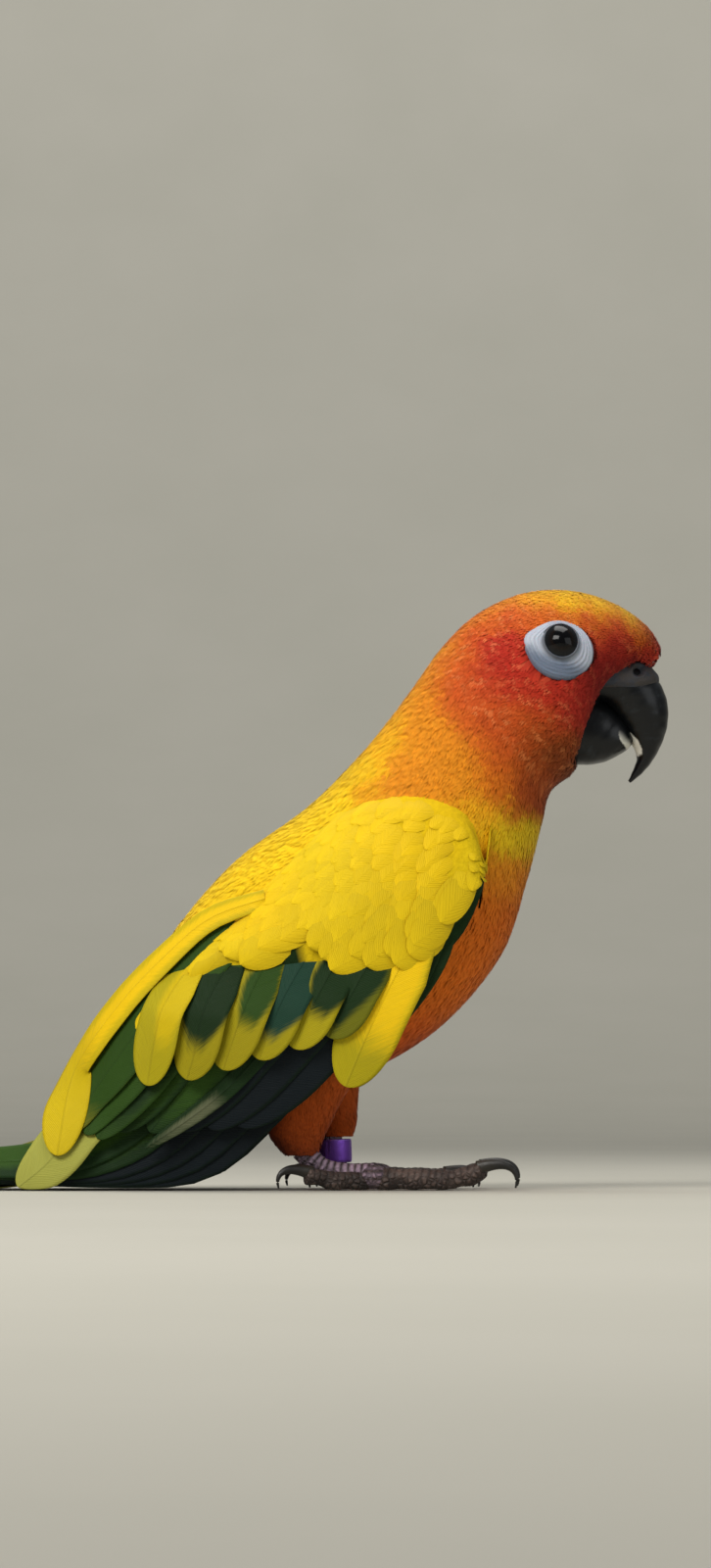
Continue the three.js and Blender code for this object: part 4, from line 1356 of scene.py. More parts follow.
@dataclass
class Coat:
    """Small feathers over a ground: tufts of tapering strips, or whole coverts."""

    ground: Ground
    markings: Markings
    seed: int

    def __post_init__(self) -> None:
        """Seeds the random draws."""
        self.rng = np.random.default_rng(self.seed)

    def heading(self, a: Array, b: Array, lie: Array, wander: float) -> tuple[Array, Array, Array]:
        """Turns each feather a little, and finds how the parameters change along and across it.

        A millimetre in direction d changes them by (J'J)^-1 J' d, where J holds the ground's tangents.
        Where the ground is pinched the change is held to 2.5 times the usual one.

        Args:
            a: each root's first parameter.
            b: its second.
            lie: the direction that each feather points in.
            wander: how far a feather turns from it.

        Returns:
            Directions on the ground, and the parameters' change for a millimetre along and across.
        """
        _, normal, with_a, with_b = self.ground.frame(a, b)
        lie = unit(lie - normal * (lie * normal).sum(-1, keepdims=True))
        swing = self.rng.normal(0, wander, len(a))[:, None]
        lie = unit(lie * np.cos(swing) + np.cross(normal, lie) * np.sin(swing))
        tangents = np.stack([with_a, with_b], -1)
        gram = np.swapaxes(tangents, -1, -2) @ tangents + np.eye(2) * 1e-6
        moves = []
        for direction in (lie, np.cross(normal, lie)):
            move = np.linalg.solve(gram, np.swapaxes(tangents, -1, -2) @ direction[..., None])[..., 0]
            far = np.linalg.norm(move, axis=-1, keepdims=True)
            moves.append(move * np.minimum(1, 2.5 * np.median(far) / far))
        return lie, moves[0], moves[1]

    def lay(self, roots: tuple[Array, Array], ahead: Array, over: Array, run: Array,
            offset: Array) -> tuple[Array, Array]:
        """Places on the ground along and across each feather.

        Args:
            roots: the roots' parameters.
            ahead: the parameters' change for a millimetre along.
            over: their change for a millimetre across.
            run: lengths along.
            offset: lengths across.

        Returns:
            Points and outward normals.
        """
        places = (root[:, None, None] + ahead[:, k, None, None] * run + over[:, k, None, None] * offset
                  for k, root in enumerate(roots))
        return self.ground.frame(*places)[:2]

    def grow(self, a: Array, b: Array, lie: Array, cut: Tuft, length: Array, unwrap: Array) -> Shape:
        """Builds tufts.

        A point of strip j at share q of its length lies at the ground's parameters
        root + along * length q + across * fan j, raised by the normal from -sink to lift.

        Args:
            a: each root's first parameter.
            b: its second.
            lie: the direction that each tuft points in.
            cut: the region's sizes.
            length: each tuft's length.
            unwrap: each root's place on the skin's unwrap.

        Returns:
            Strips of triangles that face outwards.
        """
        n, k = len(a), cut.strips
        lie, ahead, over = self.heading(a, b, lie, cut.wander)
        strip = np.linspace(-1, 1, k)
        reach = length[:, None] * (1 - 0.2 * strip ** 2) * self.rng.uniform(0.86, 1.1, (n, k))
        run = reach[..., None] * ROWS
        offset = cut.width * 0.5 * strip[None, :, None] * (mix(0.5, 1.0, ROWS) + cut.fan * ROWS * 0.5)
        offset = offset + self.rng.normal(0, 0.035 * cut.width, (n, k, 1)) * ROWS
        points, up = self.lay((a, b), ahead, over, run, offset)
        rise = mix(-cut.sink, cut.lift, smooth(0, 0.75, ROWS)) - 0.1 * cut.width * (strip ** 2)[:, None]
        wave = self.rng.normal(0, 0.04, (n, k, 1)) * ROWS + self.rng.normal(0, 0.04, (n, 1, 1)) * ROWS
        points = points + up * (rise + wave)[..., None]
        aside = unit(np.cross(up, lie[:, None, None, :]))
        half = cut.width / (k + 0.4) * 1.05 * ROW_WIDTH
        left, right = points - aside * half[:, None], points + aside * half[:, None]
        return self.strips(left, right, points, cut, unwrap)

    def coverts(self, a: Array, b: Array, lie: Array, cut: Tuft, size: Array, lift: Array) -> Shape:
        """Builds small whole feathers, each a bowed sheet with a round tip.

        A point at share u along and v across lies at the ground's parameters
        root + along * length u + across * half width(u) v, raised by the normal from -sink to
        lift and lowered by camber v^2.

        Args:
            a: each root's first parameter.
            b: its second.
            lie: the direction that each feather points in.
            cut: the largest feather's sizes.
            size: each feather's share of them.
            lift: extra height of each feather.

        Returns:
            Sheets that face outwards.
        """
        n, rows, columns = len(a), 11, 9
        u = crowding(rows)
        v = np.linspace(-1, 1, columns)
        _, ahead, over = self.heading(a, b, lie, cut.wander)
        size = (size * self.rng.uniform(0.92, 1.06, n))[:, None, None]
        run = np.broadcast_to(cut.length[1] * size * u[:, None], (n, rows, columns))
        offset = 0.5 * cut.width * size * feather_width(u, 0.62, 0.6)[:, None] * v
        points, up = self.lay((a, b), ahead, over, run, offset)
        rise = mix(-cut.sink, cut.lift, smooth(0, 0.8, u))[:, None] - 0.035 * cut.width * size * v ** 2
        points = points + up * (rise + lift[:, None, None] * mix(0.45, 1.0, u)[:, None])[..., None]
        turned = np.cross(points[:, 1:, 1:] - points[:, :-1, 1:], points[:, 1:, 1:] - points[:, 1:, :-1])
        quads = sheet_faces(rows, columns)
        if (turned * up[:, 1:, 1:]).sum() > 0:
            quads = quads[:, ::-1]
        quads = (np.arange(n)[:, None, None] * rows * columns + quads).reshape(-1, 4)
        tint = self.markings.tint(points[:, 0, 0]) * self.rng.uniform(0.975, 1.025, (n, 1))
        # Painted shade: each covert darker at its root, under the coverts that overlap it, and a little
        # darker at its sides.
        shade = mix(0.9, 1.03, u[:, None]) * mix(1.0, 0.97, v ** 2)
        tint = np.clip(tint[:, None, None, :] * shade[..., None], 0, 1).reshape(-1, 3)
        patch = np.stack(np.broadcast_arrays(v * 0.5, u[:, None] - 0.5), -1) * BAKE_PATCH
        unwrap = np.stack([a, b], -1) * 0.85 + 0.08
        grain = np.stack([offset + 0 * run, run + 17.0 * np.arange(n)[:, None, None]], -1)
        data = {"tint": tint, "mark_tint": tint, "mark": np.zeros(len(tint))}
        maps = {BAKE_MAP: (unwrap[:, None, None, :] + patch).reshape(-1, 2), "Vane": grain.reshape(-1, 2)}
        return Shape(points.reshape(-1, 3), quads, data=data, maps=maps)

    def strips(self, left: Array, right: Array, points: Array, cut: Tuft, unwrap: Array) -> Shape:
        """Joins the edges of every strip into triangles, and gives them their colours, with painted shade at
        the roots, and their bake places.

        Args:
            left: left edges, as tufts by strips by rows.
            right: right edges.
            points: middles.
            cut: the region's sizes.
            unwrap: each root's place on the skin's unwrap.

        Returns:
            The shape.
        """
        n, k = points.shape[:2]
        corners = np.stack([left[:, :, 0], right[:, :, 0], left[:, :, 1], right[:, :, 1],
                            left[:, :, 2], right[:, :, 2], points[:, :, 3]], 2)
        pattern = np.array([[0, 1, 3], [0, 3, 2], [2, 3, 5], [2, 5, 4], [4, 5, 6]])
        tris = (np.arange(n * k)[:, None, None] * 7 + pattern).reshape(-1, 3)
        tint = self.markings.tint(points[:, 0, 0]) * self.rng.uniform(0.965, 1.035, (n, 1))
        streak = ripple(points[:, 0, 0] * np.array([0.5, 1, 1]), 1.1, 31)[:, None]
        pale = cut.pale * smooth(0.1, 0.75, streak) * self.rng.uniform(0.5, 1.0, (n, 1))
        tint = mix(tint, Hue.STRAW.srgb, pale)
        share = ROWS[[0, 0, 1, 1, 2, 2, 3]]
        # Painted shade: each strip darker towards its root, under the strips that overlap it; the rest is
        # random tone.
        shade = mix(0.93, 1.03, share) * self.rng.uniform(0.97, 1.03, (n, k, 1))
        colours = tint[:, None, None, :] * shade[..., None]
        edge = np.array([-1, 1, -1, 1, -1, 1, 0]) * 0.5 / k
        u = (np.linspace(-0.8, 0.8, k)[:, None] + edge) * BAKE_PATCH / 2
        v = (share - 0.5) * BAKE_PATCH
        patch = np.stack([np.broadcast_to(u, (k, 7)), np.broadcast_to(v, (k, 7))], -1)
        bake = unwrap[:, None, None, :] + patch
        return Shape(corners.reshape(-1, 3), tris=tris, data={"tint": np.clip(colours, 0, 1).reshape(-1, 3)},
                     maps={BAKE_MAP: bake.reshape(-1, 2)})


def fused(rough: Shape, grain: float, rounds: int = 3) -> Shape:
    """Crossing closed shapes fused into one by a voxel remesh, then smoothed.

    Args:
        rough: the shapes, joined.
        grain: the voxels' size.
        rounds: rounds of smoothing.

    Returns:
        The fused shape, in four-sided faces.
    """
    mesh = bpy.data.meshes.new("skin_form")
    mesh.from_pydata(rough.points.tolist(), [], rough.triangles().tolist())
    form = linked("skin_form", mesh)
    fuse = form.modifiers.new("fuse", "REMESH")
    fuse.mode = "VOXEL"
    fuse.voxel_size = grain
    form.modifiers.new("soften", "SMOOTH").iterations = rounds
    made = form.evaluated_get(bpy.context.evaluated_depsgraph_get()).to_mesh()
    points = np.empty(len(made.vertices) * 3, np.float32)
    made.vertices.foreach_get("co", points)
    quads = np.empty(len(made.polygons) * 4, np.int32)
    made.polygons.foreach_get("vertices", quads)
    form.to_mesh_clear()
    bpy.data.objects.remove(form)
    bpy.data.meshes.remove(mesh)
    return Shape(points.reshape(-1, 3).astype(float), quads.reshape(-1, 4))


def unwrapped(a: Array, b: Array, last: float) -> Array:
    """Places on the bake map for a from 0 to last and b from -1 to 1, a little in from its edges."""
    return np.stack([a / last, (b + 1) / 2], -1) * 0.98 + 0.01


@dataclass(frozen=True)
class Region:
    """A stretch of the body's coat, from section to section, and the cut of its feathers."""

    name: str
    sections: Pair
    cut: Tuft


REGIONS = (
    Region("coat_face", (16.5, 20.0), Tuft(0.5, (2.6, 1.5), 0.95, 4, sink=0.6, pale=0.35)),
    Region("coat_head", (13.7, 16.5), Tuft(0.6, (3.6, 2.6), 1.15, 4, sink=0.7, pale=0.45)),
    Region("coat_neck", (10.9, 13.7), Tuft(0.78, (4.8, 3.6), 1.5, 5, sink=0.8)),
    Region("coat_breast", (8.0, 10.9), Tuft(0.98, (6.4, 4.8), 2.1, 5, sink=0.8)),
    Region("coat_rear", (5.25, 8.0), Tuft(1.15, (7.6, 6.4), 2.4, 5, sink=0.8)),
)


@dataclass
class Plumage:
    """The skin and the small feathers of head, neck, torso and thighs."""

    bench: Bench
    body: BodyForm
    markings: Markings
    wing_cover: tuple = ((20.5, 60), (17.5, 66), (9.5, 69.5), (0, 67.5), (-8, 61), (-17, 50.5), (-27, 41),
                  (-38, 28), (-48, 13), (-40, 10), (-30, 15.5), (-18, 19.5), (-6, 27), (3, 32),
                  (10, 40), (16, 48))
    ring_place: Pair = (38.1, 99.4)
    ring_size: Pair = (6.35, 5.4)
    bill_outline: tuple = ((46.5, 101), (52, 99.8), (56, 97.4), (57.6, 95), (58, 90), (52, 84), (46, 79),
                    (38.6, 81.4), (38, 86), (39, 92))
    bill_half: float = 6.3
    skin_depth: float = 0.9
    skin_grain: float = 0.9

    def skin(self) -> None:
        """One closed skin over the torso, neck, head and thighs, fused by a voxel remesh."""
        t = np.linspace(4.7, 19.9, 110)
        b = np.linspace(-1, 1, 72, endpoint=False)
        points, normal, _, _ = self.body.frame(*np.meshgrid(t, b, indexing="ij"))
        forms = [loft(points - normal * self.skin_depth)]
        for thigh in THIGHS.values():
            points, normal, _, _ = thigh.frame(*np.meshgrid(np.linspace(0, 4, 30), b, indexing="ij"))
            forms.append(loft(points - normal * 0.6))
        shape = fused(joined(forms), self.skin_grain)
        shape.data["tint"] = self.markings.tint(shape.points)
        self.bench.place("skin", shape.outward(), SkinFinish().make(), "body_feathers",
                         ("head", "neck", "torso", "thigh_right", "thigh_left"))

    def eye_space(self, points: Array) -> Array:
        """How far places lie from the bare ring's middle, as a share of its size."""
        along, up = turned(*(points[:, [0, 2]] - self.ring_place).T, -RING_LEAN)
        return np.hypot(along / self.ring_size[0], up / self.ring_size[1])

    def grows(self, points: Array) -> Array:
        """Whether a feather may be rooted at places: not on the ring, under the bill or under a wing.

        Args:
            points: places.

        Returns:
            True where one may.
        """
        x, y, z = points[..., 0], points[..., 1], points[..., 2]
        under_bill = inside(x, z, self.bill_outline) & (np.abs(y) < self.bill_half)
        under_wing = inside(x, z, self.wing_cover) & (np.abs(y) > 3)
        return (self.eye_space(points) > 1.0) & ~under_bill & ~under_wing

    def coats(self) -> None:
        """The feathers of each region, lying from the bill towards the tail."""
        finish = CoatFinish().make()
        for number, region in enumerate(REGIONS):
            a, b = self.body.scatter(region.sections, (-1, 1), region.cut.spacing)
            points, _, with_a, _ = self.body.frame(a, b)
            keep = self.grows(points)
            a, b, points, lie = a[keep], b[keep], points[keep], -unit(with_a[keep])
            share = (a - region.sections[0]) / (region.sections[1] - region.sections[0])
            length = mix(*region.cut.length, share)
            for part in (1.0, 0.7, 0.45):
                tip = points + lie * length[:, None]
                length = np.where(self.eye_space(tip) < 1.0, length * part, length)
            length = np.where(self.eye_space(points + lie * length[:, None]) < 1.0, 0.5, length)
            unwrap = unwrapped(a, b, len(BODY))
            coat = Coat(self.body, self.markings, BODY_SEED + number)
            shape = coat.grow(a, b, lie, region.cut, length, unwrap)
            self.bench.place(region.name, shape, finish, "body_feathers")
        self.trousers(finish)

    def trousers(self, finish: Material) -> None:
        """The short feathers of the thighs, lying down the leg.

        Args:
            finish: their material.
        """
        cut = Tuft(0.8, (3.4, 4.6), 1.5, 5, sink=0.5)
        for number, (word, thigh) in enumerate(THIGHS.items()):
            a, b = thigh.scatter((0.9, 3.9), (-1, 1), cut.spacing)
            _, _, with_a, _ = thigh.frame(a, b)
            length = mix(4.6, 2.2, a / 4)
            unwrap = unwrapped(a, b, len(thigh.rows))
            coat = Coat(thigh, self.markings, THIGH_SEED + number)
            shape = coat.grow(a, b, unit(with_a), cut, length, unwrap)
            self.bench.place(f"coat_thigh_{word}", shape, finish, "body_feathers")


# Stiff feathers


@dataclass(frozen=True)
class Paint:
    """A stiff feather's colours: a centre mark inside a rim, and how wide the rim is at edges and tip.

    skew moves the mark to one side, soft is the width of its edge, root is where it starts, and wedge
    is how much it narrows on the way to the tip.
    """

    rim: Hue
    centre: Hue
    edge: float = 0.3
    tip: float = 0.2
    skew: float = 0.0
    soft: float = 0.3
    root: float = -1.0
    wedge: float = 0.0


@dataclass(frozen=True)
class Row:
    """A row of one wing's feathers, from its front feather to its rear one, root to tip in side view.

    out is the height over the body at root and tip, tilt lifts each lower edge over the next
    feather, and stack is the extra height of the last feather where the tips crowd. Where last or
    out_last is missing, all the feathers lie as the first one does.
    """

    name: str
    count: int
    width: float
    tilt: float
    rounding: float
    first: tuple
    out: tuple
    paints: tuple[Paint, ...]
    last: tuple = ()
    out_last: tuple = ()
    stack: float = 0.0
    stops: int = 24
    thick: float = 0.3
    camber: float = 0.05
    root: float = 0.6
    spread: float = 0.3


ACROSS = np.array([-1, -0.84, -0.6, -0.34, -0.12, -0.04, 0, 0.04, 0.12, 0.34, 0.6, 0.84, 1])


# How the grain of one stiff feather is kept apart from the next, and the shaft's size
VANE_SEED = 900
GRAIN_STEP = 37.0
SHAFT_HEIGHT, SHAFT_WIDTH = 0.1, 0.22
ROW_NUMBERS, WING_NUMBERS = 20, 300


def own_number(number: int, side: int, apart: int = 20) -> int:
    """A stiff feather's own number for its grain: those on the left are further on."""
    return number + (apart if side == LEFT else 0)


def feather_width(u: Array, rounding: float, root: float = 0.6, spread: float = 0.3) -> Array:
    """A feather's share of its full width: a narrower root, and a tip that rounds as a circle does."""
    into = np.clip((u - 1 + rounding) / rounding, 0, 1)
    return mix(root, 1.0, np.clip(u / spread, 0, 1)) * np.maximum(np.sqrt(1 - into ** 2), 0.05)


def vane(centre: Array, across: Array, normal: Array, half: Array, u: Array, paint: Paint, number: int,
         thick: float, camber: float) -> Shape:
    """One closed feather along a path: centre + across half v + normal (shaft - camber half v^2).

    The shaft stands 0.1 exp(-(v half / 0.22)^2) over the web, and the web thins to its edges.

    Args:
        centre: the shaft's points.
        across: directions across the web.
        normal: directions out of it.
        half: half widths.
        u: shares of the length.
        paint: colours.
        number: tells this feather's grain from the others'.
        thick: thickness at the middle.
        camber: how much the web bows.

    Returns:
        The feather.
    """
    rng = np.random.default_rng(VANE_SEED + number)
    v = ACROSS[None, :]
    run = np.concatenate([[0], np.cumsum(np.linalg.norm(np.diff(centre, axis=0), axis=1))])
    flat = v * half[:, None]
    shaft = SHAFT_HEIGHT * np.exp(-(flat / SHAFT_WIDTH) ** 2) * (1 - 0.8 * u[:, None])
    bow = -camber * half[:, None] * v ** 2
    body = thick * 0.5 * (0.45 + 0.55 * (1 - v ** 2))
    web = centre[:, None] + across[:, None] * flat[..., None]
    top = web + normal[:, None] * (bow + body + shaft)[..., None]
    low = web + normal[:, None] * (bow - body - shaft * 0.6)[..., None]
    rings = np.concatenate([top, low[:, ::-1]], 1)
    mirror = np.concatenate([flat, flat[:, ::-1]], 1)
    lengths = np.broadcast_to(run[:, None] + GRAIN_STEP * number, mirror.shape)
    side = np.concatenate([ACROSS, ACROSS[::-1]])[None, :]
    rim = paint.edge + paint.wedge * smooth(0.3, 0.95, u)[:, None]
    edge = (1 - rim - np.abs(side - paint.skew)) / paint.soft
    tip = (1 - paint.tip - u[:, None]) / (paint.soft * 0.5)
    start = (u[:, None] - paint.root) / 0.15
    mark = np.clip(0.5 + np.minimum(np.minimum(edge, tip), start), 0, 1)
    jitter = rng.uniform(0.95, 1.05)
    shape = mirror.shape
    return loft(rings, {
        "mark": mark,
        "tint": np.broadcast_to(np.clip(paint.rim.srgb * jitter, 0, 1), (*shape, 3)),
        "mark_tint": np.broadcast_to(np.clip(paint.centre.srgb * jitter, 0, 1), (*shape, 3)),
    }, {"Vane": np.stack([mirror, lengths], -1)})


def eased(rows: Array, reach: int) -> Array:
    """Each row averaged with its neighbours: v_i = sum of w_k v_(i+k), where w is a raised cosine.

    Args:
        rows: vectors along a path.
        reach: how many neighbours to each side count.

    Returns:
        The averages.
    """
    weight = np.hanning(2 * reach + 3)[1:-1]
    padded = np.pad(rows, ((reach, reach), (0, 0)), "edge")
    return np.stack([np.convolve(column, weight / weight.sum(), "valid") for column in padded.T], -1)


def on_floor(z: Array, clear: float = 0.1, soft: float = 0.9) -> Array:
    """Heights pressed up from the floor: z' = c + s exp((z - c - s) / s) below c + s, and z above it."""
    edge = clear + soft
    return np.where(z < edge, clear + soft * np.exp((np.minimum(z, edge) - edge) / soft), z)


ARM_DABS = (
    Dab("shoulder", 14, 66, 8, 6, Hue.YELLOW),
    Dab("wrist", 22, 60, 4, 6, Hue.LEMON),
    Dab("middle", 3, 58, 9, 8, Hue.LEMON),
    Dab("rear", -14, 58, 9, 5, Hue.YELLOW),
    Dab("lower", 8, 46, 9, 6, Hue.LEMON),
    Dab("lower rear", -12, 45, 10, 6, Hue.LEMON),
)


PRIMARY_PAINT = Paint(Hue.DEEP_GREEN, Hue.NAVY, 0.15, -0.3, 0.2, 0.9)
REAR_PAINT = Paint(Hue.DEEP_GREEN, Hue.LEAF, 0.1, -0.3, -0.5, 0.9, root=0.3)
WING_ROWS = (
    Row("primary", 6, 8.2, 9, 0.5,
        ((13, 46), (-5, 28.2), (-19, 14), (-30, 5.8), (-50, 4.3), (-103, 3.4)), (0.8, 1.25),
        (PRIMARY_PAINT, PRIMARY_PAINT, REAR_PAINT),
        ((4, 49), (-15, 37), (-31, 22.5), (-45, 9.6), (-60, 4.4), (-84, 3.6)), stack=2.2, stops=44),
    Row("secondary", 5, 10.4, 6, 0.36, ((8, 44), (-8, 26), (-22, 12.6)), (3, 3.7),
        (Paint(Hue.DEEP_GREEN, Hue.NAVY, 0.2, -0.4, 0.2, 0.7),
         Paint(Hue.DEEP_GREEN, Hue.NAVY, 0.3, -0.3, 0.3, 0.7),
         Paint(Hue.DEEP_GREEN, Hue.LEAF, 0.3, 0.1, 0.1, 0.9)),
        ((-12, 48), (-29, 29), (-43, 10.4)), stops=26),
    Row("pale_feather", 1, 10.5, 3, 0.5, ((-43, 17), (-50, 9.8), (-56, 4.2), (-61.8, 0.6)), (2, 4.2),
        (Paint(Hue.PALE_LIME, Hue.OLIVE, 0.6, 0.5, 0.0, 0.6),)),
    Row("tertial", 3, 11, 6, 0.42, ((-14, 50), (-30, 31), (-46.5, 8.4)), (2.6, 4.6),
        (Paint(Hue.LEAF, Hue.DEEP_GREEN, 0.3, 0.1, 0.1, 0.9),
         Paint(Hue.LEAF, Hue.LEAF, 0.3, 0.1, 0.1, 0.5),
         Paint(Hue.OLIVE, Hue.LEAF, 0.0, 0.06, 0.1, 0.5)),
        ((-17, 50), (-34.5, 31.5), (-50.6, 8.8)), (2.6, 5)),
    Row("last_tertial", 1, 11.8, 3, 0.22,
        ((-15, 52), (-24.6, 47.6), (-33.2, 39.2), (-40.4, 30.4), (-46, 22.6), (-50.4, 14.6), (-54.2, 5)),
        (3.4, 5.4), (Paint(Hue.DULL_YELLOW, Hue.YELLOW, 0.4, 0.3, soft=0.8),),
        stops=40, root=0.34, spread=1.0),
    Row("worn_feather", 1, 3.6, 6, 0.5, ((-8, 36), (-24, 19), (-38.6, 8)), (2.6, 4.6),
        (Paint(Hue.DEEP_GREEN, Hue.WORN, 0.3, 0.1, 0.2, 1.0, root=0.62),), thick=0.28),
    Row("primary_covert", 4, 6.4, 10, 0.36, ((17.6, 52), (11.6, 40), (1.8, 27.6)), (1.7, 2.5),
        (Paint(Hue.LEAF, Hue.DEEP_GREEN, 0.1, -0.2, 0.2, 0.8),),
        ((12, 50), (4.5, 36), (-7, 22)), (2.4, 3.2), stops=20),
    # The mustard rims here are partly painted shade on the lower wing.
    Row("greater_covert", 6, 9.4, 10, 0.36, ((5, 46), (-0.6, 37.4), (-5.4, 28.6)), (3.2, 5.6),
        (Paint(Hue.OLIVE, Hue.DEEP_GREEN, 0.1, 0.1, 0.0, 0.6, wedge=0.7),
         Paint(Hue.MUSTARD_IN_SHADE, Hue.DEEP_GREEN, 0.1, 0.34, 0.3, 0.6, wedge=1.0),
         Paint(Hue.MUSTARD_IN_SHADE, Hue.TEAL, -0.4, 0.2, 0.0, 0.6, wedge=1.2),
         Paint(Hue.MUSTARD_IN_SHADE, Hue.LEAF, 0.3, 0.4, 0.3, 0.6, wedge=0.9),
         Paint(Hue.MUSTARD_IN_SHADE, Hue.DEEP_GREEN, -0.3, 0.26, 0.0, 0.6, wedge=1.2),
         Paint(Hue.MUSTARD_IN_SHADE, Hue.DULL_YELLOW, 0.3, 0.3, 0.4, 0.6, wedge=0.6)),
        ((-27.6, 41), (-33, 31), (-37.2, 18.4)), (3.2, 7), stops=26, thick=0.28),
    # The mustard rim here is partly painted shade on the lower wing.
    Row("long_covert", 1, 11.6, 8, 0.36, ((12, 49), (3.8, 34.4), (-3, 20.2)), (3.4, 5.5),
        (Paint(Hue.MUSTARD_IN_SHADE, Hue.YELLOW, 0.1, 0.3, 0.0, 0.9),), thick=0.28),
)


@dataclass
class Wings:
    """Both folded wings: an arm under small coverts, and rows of stiff feathers laid like tiles."""

    bench: Bench
    cloak: Cloak
    soft: Tuft = Tuft(2.4, (5, 12), 8, 1, 0.3, 0.35, 0.0, 0.06)
    soft_rise: float = 2.3
    hem: tuple = ((-44, 22), (-36, 29), (-33, 33), (-30.6, 39), (-28.2, 44), (-26, 40.6), (-22.4, 38),
           (-18.6, 39.4), (-15.4, 43.8), (-12.4, 46.4), (-10, 43), (-7.4, 39.4), (-4.4, 37.6),
           (-2, 38.6), (0.4, 41), (3, 40), (7, 40), (10, 43), (13, 47.6), (16.4, 51),
           (19.7, 54), (22, 56.6), (24, 57.6))
    def feather(self, row: Row, number: int, side: int) -> Shape:
        """One feather of a row.

        Args:
            row: the row.
            number: which feather, from the front.
            side: right or left.

        Returns:
            The feather.
        """
        share = number / max(row.count - 1, 1)
        u = crowding(row.stops, 0.92)
        first, last = (np.array(line, float) for line in (row.first, row.last or row.first))
        path = along_path(mix(first, last, share), u)
        root, tip = mix(np.array(row.out, float), np.array(row.out_last or row.out, float), share)
        out = self.cloak.out + mix(root, tip, np.clip(u / 0.5, 0, 1))
        out += row.stack * share * smooth(0.6, 0.82, u)
        points, face = self.cloak.frame(path[:, 0], path[:, 1], side, out)
        face = unit(eased(face, row.stops // 7))
        ahead = unit(np.gradient(points, axis=0))
        down = towards(unit(np.cross(ahead, face)), (0, side, -1))
        normal = towards(np.cross(down, ahead), face)
        tilt = math.radians(row.tilt)
        across = down * math.cos(tilt) + normal * math.sin(tilt)
        face = normal * math.cos(tilt) - down * math.sin(tilt)
        half = row.width / 2 * feather_width(u, row.rounding, row.root, row.spread)
        paint = row.paints[min(int(share * len(row.paints)), len(row.paints) - 1)]
        grain = own_number(ROW_NUMBERS * WING_ROWS.index(row) + number, side, WING_NUMBERS)
        made = vane(points, across, face, half, u, paint, grain, row.thick, row.camber)
        made.points[:, 2] = on_floor(made.points[:, 2])
        return made

    def above_hem(self, points: Array) -> Array:
        """Whether places in side view lie above the lower edge of the yellow coverts."""
        x, z = np.array(self.hem, float).T
        return points[..., 2] > np.interp(points[..., 0], x, z)

    def arm(self, form: ArmForm) -> Shape:
        """The closed mound under the small coverts, green below their edge.

        Args:
            form: the arm.

        Returns:
            The mound.
        """
        a, b = np.meshgrid(np.linspace(-0.09, 1, 48), np.linspace(-0.11, 1, 40), indexing="ij")
        inner = form.over(a, b, np.full(a.shape, -2.6))
        rings = np.concatenate([form.at(a, b), inner[:, ::-1]], 1)
        tint = np.where(self.above_hem(rings)[..., None], Markings(ARM_DABS).tint(rings), Hue.DEEP_GREEN.srgb)
        return loft(rings, {"tint": tint})

    def build(self) -> None:
        """Builds both wings."""
        stiff = VaneFinish().make()
        soft = VaneFinish("soft_vane", shaft=0.25).make()
        # The arm's skin darkened to 0.72 of its markings, as painted shade between the coverts.
        skin = SkinFinish("wing_skin", 0.72).make()
        for word, side in SIDES.items():
            form = ArmForm(self.cloak, side)
            feathers = [self.feather(row, k, side) for row in WING_ROWS for k in range(row.count)]
            node = f"wing_{word}"
            self.bench.place(f"wing_feathers_{word}", joined(feathers), stiff, "wing_feathers", (node,))
            self.bench.place(f"wing_arm_{word}", self.arm(form), skin, "wing_feathers")
            self.bench.place(f"coat_wing_{word}", self.coat(form), soft, "wing_feathers")

    def coat(self, form: ArmForm) -> Shape:
        """The soft yellow coverts over the arm, lying down and to the rear, as far as their lower edge.

        Args:
            form: the arm.

        Returns:
            The feathers.
        """
        cut = self.soft
        a, b = form.scatter((-0.07, 0.9), (-0.1, 1.0), cut.spacing)
        grown = smooth(-0.05, 0.4, a) * mix(0.6, 1.0, smooth(0.0, 0.6, b))
        size = mix(cut.length[0] / cut.length[1], 1.0, grown)
        lie = np.broadcast_to(unit(np.array([-0.78, 0, -0.62])), (len(a), 3))
        keep = self.above_hem(form.at(a, b) + lie * cut.length[1] * size[:, None])
        a, b, size, lie = a[keep], b[keep], size[keep], lie[keep]
        lift = self.soft_rise * smooth(0.3, 1.0, b)
        return Coat(form, Markings(ARM_DABS), WING_SEED + form.side).coverts(a, b, lie, cut, size, lift)


